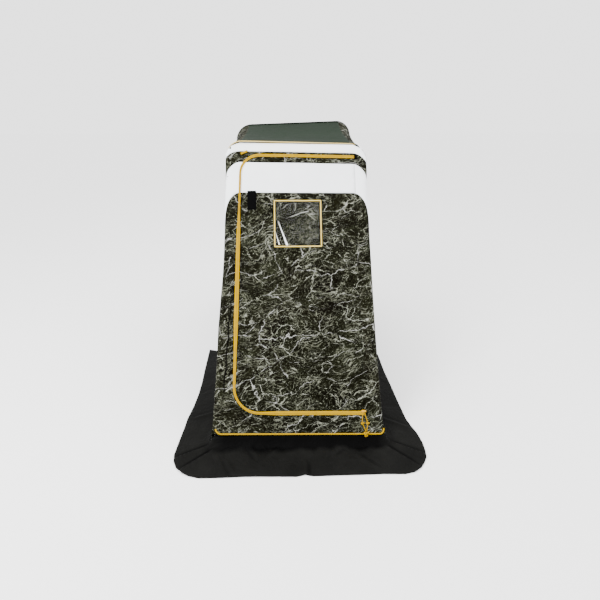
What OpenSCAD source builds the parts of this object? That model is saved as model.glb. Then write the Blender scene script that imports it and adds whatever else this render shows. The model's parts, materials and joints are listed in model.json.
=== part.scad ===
// One-person flip-over ice fishing shelter.
// A sled carries four nested U-shaped bows on one hub axis at each side. Fabric sections
// span the bows, and a sloped front wall holds a zipped door with a window.
// Units are millimetres. X runs across, the door faces -Y and Z is up. The working
// coordinates start at the foot of the front wall; centred() moves them to the origin,
// which is the middle of the footprint at floor level.

/* [Front wall] */
// Half width of the front wall at its foot
foot_half_w = 490; // [485:1:495]
// Height of the foot of the front wall above the floor
foot_z = 70; // [66:1:74]
// Half width of the front wall at its top
top_half_w = 425; // [421:1:429]
// Radius of the rounded top corners
corner_r = 108; // [100:1:135]
// Thickness of the fabric panels
skin = 4; // [3:0.5:5]

/* [Side profile] */
// Distance from the foot back to the top of the front wall
front_top_y = 850; // [830:5:870]
// Height of the top of the front wall
front_top_z = 1580; // [1560:5:1600]
// Distance from the foot back to the highest point of the roof
peak_y = 1320; // [1305:5:1335]
// Height of the highest point of the roof
peak_z = 1680; // [1670:5:1690]
// Distance from the foot back to the rear bow
rear_top_y = 1925; // [1910:5:1940]
// Height of the rear bow
rear_top_z = 1190; // [1175:5:1205]

/* [Skirt] */
// Reach of the skirt in front of the wall
skirt_front = 250; // [230:5:270]
// Half width of the skirt at its front corners
skirt_half_w = 702; // [690:2:710]
// Half width of the skirt at its rear ends
skirt_rear_half_w = 655; // [640:5:670]

/* [Poles] */
// Outer radius of the pole legs
leg_r = 11; // [10.5:0.1:11.2]
// Bore radius of the pole legs
leg_bore_r = 9.5; // [9.4:0.05:9.6]
// Radius of the pole tops that plug into the legs
top_r = 9.3; // [9.1:0.05:9.35]
// Length of the socket between a leg and a top
socket_len = 70; // [50:5:90]

/* [Sled] */
// Half width of the sled over its rim
rim_half_w = 315; // [313:1:316]
// Length of the sled over its rim
sled_len = 1240; // [1230:5:1240]
// Height of the sled's rim
rim_z = 250; // [246:1:254]
// Wall of the sled tub
sled_wall = 6; // [5:0.5:7]

/* [Hidden] */

// Colours
camo = [0.24, 0.25, 0.2];
roof_green = [0.3, 0.35, 0.3];
skirt_black = [0.12, 0.12, 0.12];
zip_yellow = [0.95, 0.76, 0.12];
steel = [0.62, 0.64, 0.66];
pole_grey = [0.35, 0.36, 0.37];
sled_black = [0.14, 0.14, 0.15];
seat_grey = [0.3, 0.31, 0.32];

// The hub axis runs along X through this point of the side view
hub = [1010, 225];
// Corners of the outer side profile, from the foot of the front wall to the sled's rear
foot_pt = [0, foot_z];
front_pt = [front_top_y, front_top_z];
peak_pt = [peak_y, peak_z];
rear_pt = [rear_top_y, rear_top_z];
stern_pt = [2178, 232];
profile = [foot_pt, front_pt, peak_pt, rear_pt, stern_pt];

// Centring
batten_t = 3;
rear_end = stern_pt[0] + 0.5 + batten_t;
centre_y = (rear_end - skirt_front) / 2;

// Front wall frame: x across, y up the slope, z outwards
slope = atan2(front_top_z - foot_z, front_top_y);
wall_len = norm(front_pt - foot_pt);

// Poles
pole_inset = 16;
eye_r = 18;
eye_w = 20;
axle_r = 8;
eye_bore_r = 8.08;
side_gap = 17;
rear_x = 335;
middle_x = 371;
front_x = top_half_w - side_gap;
ground_hub_x = 432;
ground_x = foot_half_w - side_gap;
ground_bar = [22, 52];
ground_bend_r = 60;
fabric_start = 250;
seam_gap = 0.5;
hem_out = 3;

// Hub stack
bracket_in = rim_half_w + 1;
bracket_t = 6;
axle_out = ground_hub_x + eye_w / 2 + 14;

// Door and zipper, in the front wall frame
zip_half = 9;
zip_t = 3;
zip_top = 1655;
zip_bottom = 118;
zip_top_r = 120;
zip_bottom_r = 146;
zip_left_top = -342;
zip_left_bottom = -381;
hinge_top = 353;
hinge_bottom = 373;
door_gap = 1.5;
window_x = [-137, 142];
window_y = [1092, 1373];
binding_w = 10;
slider_x = 368;

// Pull cords: routes in the front wall frame, from the slider to the end knot
cord_r = 2.5;
cord_left_route = [[362, 107, 7], [361, 100, 6.4], [360, 90, 5.6], [359, 80, 4.8],
    [358, 70, 4], [358, 60, 3.4], [359, 50, 3.2], [362, 40, 3.2], [366, 30, 3.4],
    [370, 20, 5], [373, 12, 8.4], [375, 6, 11.6]];
cord_right_route = [[374, 107, 7], [375, 100, 6.4], [377, 90, 5.6], [380, 80, 4.8],
    [383, 70, 4], [386, 60, 3.4], [388, 50, 3.2], [388, 40, 3.2], [386, 30, 3.4],
    [384, 20, 5], [382, 12, 8.4], [381, 6, 11.6]];
knot_r = 6.5;

// Sled
sled_front = 925;
sled_rear = sled_front + sled_len;
runner_h = 12;
tub_top_half = rim_half_w - 20;
tub_floor_half = 240;
rake = 105;
lip = 10;
tow_bore_r = 8;
tow_x = 150;
tow_z = 195;
rear_lean = atan2(rake - lip, rim_z - runner_h);
tow_y = sled_rear - rake + (tow_z - runner_h) * tan(rear_lean);
bolt_x = rim_half_w - 11;
bolt_y = [-38, 38];
bolt_r = 4;

// Seat
seat_y = 1540;
rail_x = 110;
rail_w = 25;
rail_z = 96;
pan_z = 145;
seat_half_w = 170;
seat_half_l = 165;
seat_hinge = [seat_y + 160, 222];
seat_pin_r = 4;

// ---------- helpers ----------

module centred() { translate([0, -centre_y, 0]) children(); }

module on_wall() { translate([0, foot_pt[0], foot_pt[1]]) rotate([slope, 0, 0]) children(); }

module both_sides() { children(); mirror([1, 0, 0]) children(); }

function arc(cx, cy, r, a0, a1, n) =
    [for (i = [0:n]) [cx + r * cos(a0 + (a1 - a0) * i / n), cy + r * sin(a0 + (a1 - a0) * i / n)]];

function reversed(list) = [for (i = [len(list) - 1:-1:0]) list[i]];

function unit(v) = v / norm(v);

// Outline of a rectangle with rounded corners, as points
function rounded_rect(x, y0, y1, r, n = 8) = concat(
    arc(x - r, y1 - r, r, 0, 90, n), arc(-x + r, y1 - r, r, 90, 180, n),
    arc(-x + r, y0 + r, r, 180, 270, n), arc(x - r, y0 + r, r, 270, 360, n));

function at_z(points, z) = [for (p = points) [p[0], p[1], z]];

// A closed solid through rings that have the same number of points
module loft(rings) {
    n = len(rings[0]);
    m = len(rings);
    points = [for (r = rings) each r];
    sides = [for (k = [0:m - 2], j = [0:n - 1]) let (a = k * n + j, b = k * n + (j + 1) % n)
        each [[a, b, b + n], [a, b + n, a + n]]];
    start = [for (j = [1:n - 2]) [0, j + 1, j]];
    last = (m - 1) * n;
    end = [for (j = [1:n - 2]) [last, last + j, last + j + 1]];
    polyhedron(points = points, faces = [for (f = concat(sides, start, end)) reversed(f)]);
}

// A point of the side profile moved inwards by d from both lines that meet there
function line_normal(a, b) = let (u = unit(b - a)) [u[1], -u[0]];
function inset_corner(a, b, c, d) = let (n1 = line_normal(a, b), n2 = line_normal(b, c),
    det = n1[0] * n2[1] - n1[1] * n2[0]) b + [n2[1] - n1[1], n1[0] - n2[0]] * d / det;
function inset_at(i, d) =
    let (u = unit(profile[4] - profile[3]))
    i == 4 ? profile[4] + [u[1], -u[0]] * d
           : inset_corner(profile[i - 1], profile[i], profile[i + 1], d);

// Half of a fabric rib from the hub side to the middle of its top.
// w is the half width, v the top's place in the side view, r its corner radius.
rib_arc_n = 6;
rib_leg_n = 6;
function rib_half(w, v, r) =
    let (d = unit(v - hub), l = norm(v - hub), step = (l - r - fabric_start) / rib_leg_n)
    concat([for (k = [0:rib_leg_n - 1]) let (s = fabric_start + k * step)
            [w, hub[0] + d[0] * s, hub[1] + d[1] * s]],
        [for (q = arc(w - r, l - r, r, 0, 90, rib_arc_n))
            [q[0], hub[0] + d[0] * q[1], hub[1] + d[1] * q[1]]]);
function flipped(points) = [for (p = points) [-p[0], p[1], p[2]]];
function rib(w, v, r) = let (h = rib_half(w, v, r)) concat(h, reversed(flipped(h)));

function mixed(a, b, t) = [for (i = [0:len(a) - 1]) a[i] * (1 - t) + b[i] * t];

rear_w = rear_x + side_gap;
middle_w = middle_x + side_gap;
stern_w = rim_half_w + skin + 2;
// Ribs by number: 1 front, 2 middle, 3 rear, 4 the sled's rim; d is how far inside the skin
function rib_at(i, d) =
    i == 1 ? rib(top_half_w - d, inset_at(1, d), corner_r - d)
    : i == 2 ? rib(middle_w - d, inset_at(2, d), 120 - d)
    : i == 3 ? rib(rear_w - d, inset_at(3, d), 110 - d)
    : rib(stern_w - d, inset_at(4, d), 98 - d);

// A fabric section between two ribs, from one side's hub over the top to the other's
module section(i, j) {
    gap = seam_gap / norm(profile[j] - profile[i]);
    out_i = mixed(rib_at(i, 0), rib_at(j, 0), gap);
    out_j = mixed(rib_at(i, 0), rib_at(j, 0), 1 - gap);
    in_i = mixed(rib_at(i, skin), rib_at(j, skin), gap);
    in_j = mixed(rib_at(i, skin), rib_at(j, skin), 1 - gap);
    loft([for (k = [0:len(out_i) - 1]) [out_i[k], in_i[k], in_j[k], out_j[k]]]);
}

// ---------- poles ----------

// Turns a bow's own plane, x across and y away from the hub, to the hub and its angle
module bow_plane(centre) {
    translate([0, hub[0], hub[1]])
        rotate([atan2(centre[1] - hub[1], centre[0] - hub[0]), 0, 0]) children();
}

function bow_len(centre) = norm(centre - hub);
function lean_first(h, c, l, r) = atan2(c - h, l - r);
function lean(h, c, l, r) = let (a = lean_first(h, c, l, r))
    atan2(c - r + r * cos(a) - h, l - r - r * sin(a));
// Length of a leg's centreline from the hub to the start of the bend
function leg_run(h, c, l, r) = (l - r - r * sin(lean(h, c, l, r))) / cos(lean(h, c, l, r));

module along_leg(h, c, l, r) {
    translate([h, 0, 0]) rotate([0, 0, -lean(h, c, l, r)]) rotate([-90, 0, 0]) children();
}

module bow_legs(h, c, centre, r) {
    l = bow_len(centre);
    run = leg_run(h, c, l, r) - 8;
    bow_plane(centre) both_sides() difference() {
        union() {
            along_leg(h, c, l, r) translate([0, 0, eye_r - 3]) cylinder(r = leg_r, h = run - eye_r + 3, $fn = 48);
            translate([h, 0, 0]) rotate([0, 90, 0]) cylinder(r = eye_r, h = eye_w, center = true, $fn = 64);
        }
        along_leg(h, c, l, r) translate([0, 0, eye_r + 4]) cylinder(r = leg_bore_r, h = run, $fn = 48);
        translate([h, 0, 0]) rotate([0, 90, 0]) cylinder(r = eye_bore_r, h = eye_w + 2, center = true, $fn = 64);
    }
}

module bow_top(h, c, centre, r) {
    l = bow_len(centre);
    run = leg_run(h, c, l, r);
    a = lean(h, c, l, r);
    bow_plane(centre) union() {
        both_sides() {
            along_leg(h, c, l, r) translate([0, 0, run - socket_len]) cylinder(r = top_r, h = socket_len, $fn = 48);
            translate([c - r, l - r, 0]) rotate([0, 0, -a])
                rotate_extrude(angle = 90 + a, $fn = 96) translate([r, 0]) circle(r = top_r, $fn = 48);
        }
        translate([0, l, 0]) rotate([0, 90, 0]) cylinder(r = top_r, h = 2 * (c - r), center = true, $fn = 48);
    }
}

front_centre = inset_at(1, pole_inset);
middle_centre = inset_at(2, pole_inset);
rear_centre = inset_at(3, pole_inset);
front_bend = corner_r - side_gap;
middle_bend = 103;
rear_bend = 93;

module rear_bow_legs() { color(pole_grey) centred() bow_legs(rear_x, rear_x, rear_centre, rear_bend); }
module rear_bow_top() { color(steel) centred() bow_top(rear_x, rear_x, rear_centre, rear_bend); }
module middle_bow_legs() { color(pole_grey) centred() bow_legs(middle_x, middle_x, middle_centre, middle_bend); }
module middle_bow_top() { color(steel) centred() bow_top(middle_x, middle_x, middle_centre, middle_bend); }
module front_bow_legs() { color(pole_grey) centred() bow_legs(front_x, front_x, front_centre, front_bend); }
module front_bow_top() { color(steel) centred() bow_top(front_x, front_x, front_centre, front_bend); }
module ground_bow_legs() {
    color(pole_grey) centred() bow_legs(ground_hub_x, ground_x, ground_bar, ground_bend_r);
}
// The ground bow's legs spread towards the wall, so its bar is swept along one path
function bar_half(h, c, l, r) =
    let (a = lean(h, c, l, r), run = leg_run(h, c, l, r) - socket_len)
    concat([[h + run * sin(a), run * cos(a)]], arc(c - r, l - r, r, -a, 90, 10));
function bar_ring(path, i) =
    let (t = unit(path[min(i + 1, len(path) - 1)] - path[max(i - 1, 0)]), p = path[i])
    [for (k = [0:23]) let (q = top_r * cos(15 * k)) [p[0] + q * t[1], p[1] - q * t[0], top_r * sin(15 * k)]];
module ground_bow_bar() {
    half = bar_half(ground_hub_x, ground_x, bow_len(ground_bar), ground_bend_r);
    path = concat(half, reversed([for (p = half) [-p[0], p[1]]]));
    color(steel) centred() bow_plane(ground_bar) loft([for (i = [0:len(path) - 1]) bar_ring(path, i)]);
}

// ---------- sled ----------

// Puts its child on the outer face of the sled's sloped rear wall, at both tow holes
module tow_places() {
    both_sides() translate([tow_x, tow_y, tow_z]) rotate([-90 - rear_lean, 0, 0]) children();
}

module sled_tub() {
    floor_z = runner_h;
    color(sled_black) centred() difference() {
        union() {
            loft([
                at_z(rounded_rect(tub_floor_half, sled_front + rake, sled_rear - rake, 80), floor_z),
                at_z(rounded_rect(tub_top_half, sled_front + lip, sled_rear - lip, 95), rim_z)]);
            translate([0, 0, rim_z - sled_wall]) linear_extrude(sled_wall)
                polygon(rounded_rect(rim_half_w, sled_front, sled_rear, 100));
        }
        loft([
            at_z(rounded_rect(tub_floor_half - sled_wall, sled_front + rake + sled_wall,
                sled_rear - rake - sled_wall, 74), floor_z + sled_wall),
            at_z(rounded_rect(tub_top_half - sled_wall, sled_front + lip + sled_wall,
                sled_rear - lip - sled_wall, 89), rim_z + 1)]);
        tow_places() translate([0, 0, -20]) cylinder(r = tow_bore_r + 1, h = 40, $fn = 48);
        both_sides() for (y = bolt_y) translate([bolt_x, hub[0] + y, rim_z - 15])
            cylinder(r = bolt_r + 0.2, h = 20, $fn = 32);
    }
}

module sled_runners() {
    color([0.75, 0.76, 0.78]) centred() for (x = [-150, 0, 150]) translate([x + 18, 0, 0]) rotate([0, -90, 0])
        linear_extrude(36) polygon([[runner_h, 1060], [runner_h, 2035], [8, 2035], [0, 2010], [0, 1085], [8, 1060]]);
}

// Rivets that line the two tow holes
module tow_grommets() {
    color(steel) centred() tow_places() difference() {
        union() {
            translate([0, 0, 0.1]) cylinder(r = 15, h = 2, $fn = 48);
            translate([0, 0, -8]) cylinder(r = tow_bore_r + 0.9, h = 9, $fn = 48);
        }
        translate([0, 0, -9]) cylinder(r = tow_bore_r, h = 12, $fn = 48);
    }
}

module pivot_brackets() {
    color(steel) centred() both_sides() difference() {
        union() {
            translate([bracket_in, hub[0] - 55, 165]) cube([bracket_t, 110, rim_z + 5.3 - 165]);
            translate([rim_half_w - 22, hub[0] - 55, rim_z + 0.3]) cube([24, 110, 5]);
        }
        translate([bracket_in - 1, hub[0], hub[1]]) rotate([0, 90, 0]) cylinder(r = eye_bore_r, h = bracket_t + 2, $fn = 64);
        for (y = bolt_y) translate([bolt_x, hub[0] + y, rim_z - 1]) cylinder(r = bolt_r + 0.2, h = 8, $fn = 32);
    }
}

module bracket_bolts() {
    color(steel) centred() both_sides() for (y = bolt_y) translate([bolt_x, hub[0] + y, rim_z + 5.3]) union() {
        cylinder(r = 7, h = 4.5, $fn = 6);
        translate([0, 0, -18]) cylinder(r = bolt_r, h = 18.5, $fn = 32);
        translate([0, 0, -16]) cylinder(r = 7, h = 4.5, $fn = 6);
    }
}

// Left and right are as a person who faces the door sees them
module pivot_axle() {
    centred() translate([0, hub[0], hub[1]]) rotate([0, 90, 0]) union() {
        translate([0, 0, bracket_in - 6]) cylinder(r = 14, h = 5.8, $fn = 48);
        translate([0, 0, bracket_in - 0.5]) cylinder(r = axle_r, h = axle_out - bracket_in, $fn = 64);
    }
}
module pivot_axle_left() { color(steel) mirror([1, 0, 0]) pivot_axle(); }
module pivot_axle_right() { color(steel) pivot_axle(); }

module axle_caps() {
    color(sled_black) centred() both_sides() translate([ground_hub_x + eye_w / 2 + 3, hub[0], hub[1]]) rotate([0, 90, 0])
        difference() {
            union() {
                cylinder(r = 17, h = 6, $fn = 48);
                translate([0, 0, 6]) cylinder(r1 = 17, r2 = 12, h = 8, $fn = 48);
            }
            translate([0, 0, -1]) cylinder(r = eye_bore_r, h = 12, $fn = 48);
        }
}

module hub_spacers() {
    gaps = [[rear_x + eye_w / 2, middle_x - eye_w / 2], [middle_x + eye_w / 2, front_x - eye_w / 2],
        [front_x + eye_w / 2, ground_hub_x - eye_w / 2]];
    color(steel) centred() both_sides() for (g = gaps) translate([g[0] + 0.4, hub[0], hub[1]]) rotate([0, 90, 0])
        difference() {
            cylinder(r = 13, h = g[1] - g[0] - 0.8, $fn = 48);
            translate([0, 0, -1]) cylinder(r = eye_bore_r, h = g[1] - g[0] + 2, $fn = 48);
        }
}

module seat_rails() {
    color(steel) centred() both_sides() translate([rail_x - rail_w / 2, 1180, rail_z]) difference() {
        cube([rail_w, 720, rail_w]);
        translate([2, -1, 2]) cube([rail_w - 4, 722, rail_w - 4]);
    }
}

module rail_supports() {
    color(sled_black) centred() for (y = [1200, 1880]) difference() {
        translate([-225, y - 20, runner_h + sled_wall]) cube([450, 40, rail_z - runner_h - sled_wall]);
        for (x = [-170, 0, 170]) translate([x - 40, y - 21, 34]) cube([80, 42, 44]);
    }
}

module rear_batten() {
    color(steel) centred() translate([0, stern_pt[0] + 0.5, 0]) difference() {
        translate([-215, 0, 238]) cube([430, batten_t, 22]);
        for (x = [-180, -60, 60, 180]) translate([x, -1, 249]) rotate([-90, 0, 0]) cylinder(r = 2.6, h = 6, $fn = 32);
    }
}

module batten_screws() {
    color(sled_black) centred() for (x = [-180, -60, 60, 180])
        translate([x, stern_pt[0] + 0.6, 249]) rotate([-90, 0, 0]) cylinder(r = 2.5, h = batten_t - 0.2, $fn = 32);
}

// ---------- fabric ----------

module rear_canopy() { color(camo) centred() section(3, 4); }
module back_canopy() { color(roof_green) centred() section(2, 3); }
module roof_canopy() { color(roof_green) centred() section(1, 2); }

// Outline of the front wall in its own frame
function wall_outline(d) = concat([[-foot_half_w + d, 0]], [[foot_half_w - d, 0]],
    arc(top_half_w - corner_r, wall_len - corner_r - 3, corner_r - d, 0, 90, 8),
    arc(-top_half_w + corner_r, wall_len - corner_r - 3, corner_r - d, 90, 180, 8));

// The C-shaped run of the zipper; o moves it outwards, e shortens its two ends
function zip_run(o, e = 0) = concat([[hinge_top - e, zip_top + o]],
    arc(zip_left_top + zip_top_r, zip_top - zip_top_r, zip_top_r + o, 90, 180, 8),
    arc(zip_left_bottom + zip_bottom_r, zip_bottom + zip_bottom_r, zip_bottom_r + o, 180, 270, 8),
    [[hinge_bottom - e, zip_bottom - o]]);

module front_wall() {
    color(camo) centred() on_wall() translate([0, 0, -skin]) difference() {
        linear_extrude(skin) polygon(wall_outline(skin + 2));
        translate([0, 0, -1]) linear_extrude(skin + 2) polygon(zip_run(-zip_half));
    }
}

// The wall's edge curve that a side wall meets, from the ground bow's leg to the top corner
function wall_edge(d) =
    let (leg_d = unit(foot_pt - hub), c = cos(slope), s = sin(slope),
        w0 = ground_hub_x + side_gap, p = hub + leg_d * fabric_start,
        x0 = w0 + (foot_half_w - w0) * fabric_start / norm(foot_pt - hub))
    concat([[x0 - d, p[0], p[1] + 1]], [[foot_half_w - d, foot_pt[0] + d * s + 1, foot_pt[1] + 1]],
        [for (q = arc(top_half_w - corner_r, wall_len - corner_r, corner_r - d, 0, 72, 5))
            [q[0], c * q[1] + d * s, foot_pt[1] + s * q[1] - d * c]]);
function bow_edge(d) =
    let (v = inset_at(1, d), u = unit(v - hub), l = norm(v - hub), w = top_half_w - d)
    concat([[w, hub[0] + u[0] * fabric_start, hub[1] + u[1] * fabric_start]],
        [[w, hub[0] + u[0] * l / 2, hub[1] + u[1] * l / 2]],
        [for (q = arc(top_half_w - corner_r, l - corner_r + d, corner_r - d, 0, 72, 5))
            [q[0], hub[0] + u[0] * q[1], hub[1] + u[1] * q[1]]]);

module side_wall() {
    gap = 0.002;
    a = mixed(bow_edge(0), wall_edge(0), gap);
    b = mixed(bow_edge(0), wall_edge(0), 1 - gap);
    c = mixed(bow_edge(skin), wall_edge(skin), gap);
    d = mixed(bow_edge(skin), wall_edge(skin), 1 - gap);
    centred() loft([for (k = [0:len(a) - 1]) [b[k], d[k], c[k], a[k]]]);
}
module side_wall_left() { color(camo) mirror([1, 0, 0]) side_wall(); }
module side_wall_right() { color(camo) side_wall(); }

module side_hems() {
    w0 = ground_hub_x + side_gap;
    y_back = hub[0] - 20;
    function wide(y) = w0 + hem_out + (foot_half_w - w0) * (hub[0] - y) / hub[0];
    function leg_z(y) = hub[1] + (foot_z - hub[1]) * (hub[0] - y) / hub[0] - 1;
    function ring(y) = [[wide(y), y, leg_z(y)], [wide(y), y, 0], [wide(y) - skin, y, 0], [wide(y) - skin, y, leg_z(y)]];
    color(camo) centred() both_sides() loft([ring(8), ring(y_back)]);
}

module skirt() {
    corner = 120;
    inner = foot_half_w + hem_out + 3;
    outer = concat([[skirt_rear_half_w, 945]], [[skirt_half_w, -skirt_front + corner]],
        arc(skirt_half_w - corner, -skirt_front + corner, corner, 0, -90, 8));
    half = concat(outer, reversed([for (p = outer) [-p[0], p[1]]]));
    back = ground_hub_x + side_gap + hem_out + 6;
    hole = [[back, 950], [inner, 6], [-inner, 6], [-back, 950]];
    color(skirt_black) centred() union() {
        difference() {
            linear_extrude(skin) polygon(half);
            translate([0, 0, -1]) linear_extrude(skin + 2) polygon(hole);
        }
        translate([-470, 1, skin - 0.5]) cube([940, skin, foot_z - skin - 4]);
    }
}

// ---------- door ----------

module door_zipper() {
    color(zip_yellow) centred() on_wall() linear_extrude(zip_t)
        polygon(concat(zip_run(zip_half), reversed(zip_run(-zip_half))));
}

module foot_piping() {
    r = 33;
    color(zip_yellow) centred() on_wall() translate([0, 0, 4.2]) {
        translate([0, 1, 0]) rotate([0, 90, 0]) cylinder(r = 4, h = 2 * (foot_half_w - 2 - r), center = true, $fn = 32);
        both_sides() translate([foot_half_w - 2 - r, r + 1, 0]) rotate([0, 0, -90])
            rotate_extrude(angle = 80, $fn = 64) translate([r, 0]) circle(r = 4, $fn = 32);
    }
}

module roof_piping() {
    l = norm(front_pt - hub) + 5;
    bend = corner_r + 5;
    color(zip_yellow) centred() bow_plane(front_pt) {
        translate([0, l, 0]) rotate([0, 90, 0])
            cylinder(r = 2.5, h = 2 * (top_half_w + 5 - bend), center = true, $fn = 24);
        both_sides() translate([bend - top_half_w - 5, l - bend, 0]) rotate([0, 0, 90])
            rotate_extrude(angle = 60, $fn = 96) translate([bend, 0]) circle(r = 2.5, $fn = 24);
    }
}

module door_panel() {
    color(camo) centred() on_wall() translate([0, 0, -skin]) difference() {
        linear_extrude(skin) polygon(zip_run(-zip_half - door_gap, door_gap));
        translate([window_x[0], window_y[0], -1])
            cube([window_x[1] - window_x[0], window_y[1] - window_y[0], skin + 2]);
    }
}

module window_pane() {
    color([0.8, 0.85, 0.88, 0.5]) centred() on_wall() translate([window_x[0] + 0.5, window_y[0] + 0.5, -3])
        cube([window_x[1] - window_x[0] - 1, window_y[1] - window_y[0] - 1, 1.5]);
}

module window_binding() {
    o = 7;
    i = binding_w - o;
    color([0.93, 0.86, 0.5]) centred() on_wall() difference() {
        translate([window_x[0] - o, window_y[0] - o, 0])
            cube([window_x[1] - window_x[0] + 2 * o, window_y[1] - window_y[0] + 2 * o, 2]);
        translate([window_x[0] + i, window_y[0] + i, -1])
            cube([window_x[1] - window_x[0] - 2 * i, window_y[1] - window_y[0] - 2 * i, 4]);
    }
}

module door_tab() {
    color(skirt_black) centred() on_wall() translate([-300, 1317, 0]) cube([54, 117, 3]);
}

module window_cover() {
    color(camo) centred() on_wall() translate([-155, 1078, -skin - 5]) cube([315, 312, 3]);
}

module zipper_slider() {
    color(zip_yellow) centred() on_wall() translate([slider_x, zip_bottom - 1, zip_t + 0.4]) {
        translate([-11, -9, 0]) cube([22, 18, 5]);
        translate([-7, -4, 5]) cube([14, 8, 3]);
    }
}

// Rings of a round cord along a route that lies close to the front wall
function along(route, i) = unit(route[min(i + 1, len(route) - 1)] - route[max(i - 1, 0)]);
function cord_ring(route, i, r) =
    let (t = along(route, i), u = unit(cross(t, [0, 0, 1])), w = cross(t, u))
    [for (k = [0:7]) route[i] + r * (cos(45 * k) * u + sin(45 * k) * w)];
module cord(route) { loft([for (i = [0:len(route) - 1]) reversed(cord_ring(route, i, cord_r))]); }

module pull_cord_left() { color(zip_yellow) centred() on_wall() cord(cord_left_route); }
module pull_cord_right() { color(zip_yellow) centred() on_wall() cord(cord_right_route); }

module pull_knots() {
    color(zip_yellow) centred() on_wall() for (p = [cord_left_route[6], cord_right_route[6]]) difference() {
        translate([p[0], p[1], p[2] + 4.2]) sphere(r = knot_r, $fn = 32);
        translate([p[0], p[1] - 10, p[2]]) rotate([-90, 0, 0]) cylinder(r = cord_r + 1.4, h = 20, $fn = 24);
    }
}

module pull_knot_end() {
    color(zip_yellow) centred() on_wall() translate([378, -6, 17]) sphere(r = 8.5, $fn = 40);
}

// ---------- seat ----------

module seat_carriage() {
    color(pole_grey) centred() translate([0, seat_y, 0]) difference() {
        union() {
            translate([-150, -100, 121.4]) cube([300, 200, 8]);
            both_sides() translate([rail_x + rail_w / 2 + 0.6, -90, 100]) cube([5, 180, 22]);
            both_sides() translate([rail_x - rail_w / 2 - 5.6, -90, 100]) cube([5, 180, 22]);
        }
        translate([0, 0, 120]) cylinder(r = 10.06, h = 12, $fn = 64);
    }
}

module seat_swivel() {
    color(steel) centred() translate([0, seat_y, 0]) union() {
        translate([0, 0, 129.8]) cylinder(r = 90, h = pan_z - 129.8, $fn = 96);
        translate([0, 0, 118]) cylinder(r = 10, h = 15, $fn = 64);
    }
}

module seat_pan() {
    color(sled_black) centred() translate([0, seat_y, pan_z])
        linear_extrude(10) polygon(rounded_rect(seat_half_w, -seat_half_l, seat_half_l, 40));
}

module seat_cushion() {
    color(seat_grey) centred() translate([0, seat_y, pan_z + 10.3])
        linear_extrude(52) polygon(rounded_rect(seat_half_w - 5, -seat_half_l + 5, seat_half_l - 5, 45));
}

module seat_brackets() {
    color(steel) centred() both_sides() difference() {
        union() {
            translate([seat_half_w + 1, seat_hinge[0] - 15, pan_z - 3]) cube([5, 27, seat_hinge[1] + 14 - pan_z + 3]);
            translate([seat_half_w - 25, seat_hinge[0] - 15, pan_z - 3]) cube([28, 27, 2.7]);
        }
        translate([seat_half_w, seat_hinge[0], seat_hinge[1]]) rotate([0, 90, 0])
            cylinder(r = seat_pin_r + 0.06, h = 8, $fn = 32);
    }
}

module seat_hinge_pins() {
    color(steel) centred() both_sides() translate([seat_half_w - 12, seat_hinge[0], seat_hinge[1]]) rotate([0, 90, 0])
        union() {
            cylinder(r = seat_pin_r, h = 19, $fn = 32);
            translate([0, 0, 19]) cylinder(r = 8, h = 3, $fn = 32);
        }
}

// The back is stored folded down onto the cushion
module seat_back_shell() {
    color(sled_black) centred() difference() {
        union() {
            translate([0, seat_y - 8, 262]) linear_extrude(9)
                polygon(rounded_rect(seat_half_w - 5, -seat_half_l + 5, seat_half_l - 2, 40));
            both_sides() translate([seat_half_w - 11, seat_hinge[0] - 40, 212]) cube([6, 50, 52]);
        }
        both_sides() translate([seat_half_w - 13, seat_hinge[0], seat_hinge[1]]) rotate([0, 90, 0])
            cylinder(r = seat_pin_r + 0.06, h = 12, $fn = 32);
    }
}

module seat_back_cushion() {
    color(seat_grey) centred() translate([0, seat_y - 12, 212])
        linear_extrude(49.7) polygon(rounded_rect(seat_half_w - 15, -seat_half_l + 12, seat_half_l - 12, 45));
}

sled_tub();
sled_runners();
tow_grommets();
pivot_brackets();
bracket_bolts();
pivot_axle_left();
pivot_axle_right();
axle_caps();
hub_spacers();
seat_rails();
rail_supports();
rear_batten();
batten_screws();
rear_canopy();
rear_bow_legs();
rear_bow_top();
back_canopy();
middle_bow_legs();
middle_bow_top();
roof_canopy();
front_bow_legs();
front_bow_top();
front_wall();
side_wall_left();
side_wall_right();
door_zipper();
roof_piping();
foot_piping();
ground_bow_legs();
ground_bow_bar();
side_hems();
skirt();
door_panel();
window_pane();
window_binding();
door_tab();
window_cover();
zipper_slider();
pull_cord_left();
pull_cord_right();
pull_knots();
pull_knot_end();
seat_carriage();
seat_swivel();
seat_pan();
seat_cushion();
seat_brackets();
seat_hinge_pins();
seat_back_shell();
seat_back_cushion();
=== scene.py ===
"""Ice fishing shelter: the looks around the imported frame. Metres, in the row frame.

Every cloth is cut flat first, then hung. Its flat coordinates, in metres, stay on it as UVs,
so prints and weaves follow it in every pose.
"""

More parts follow.
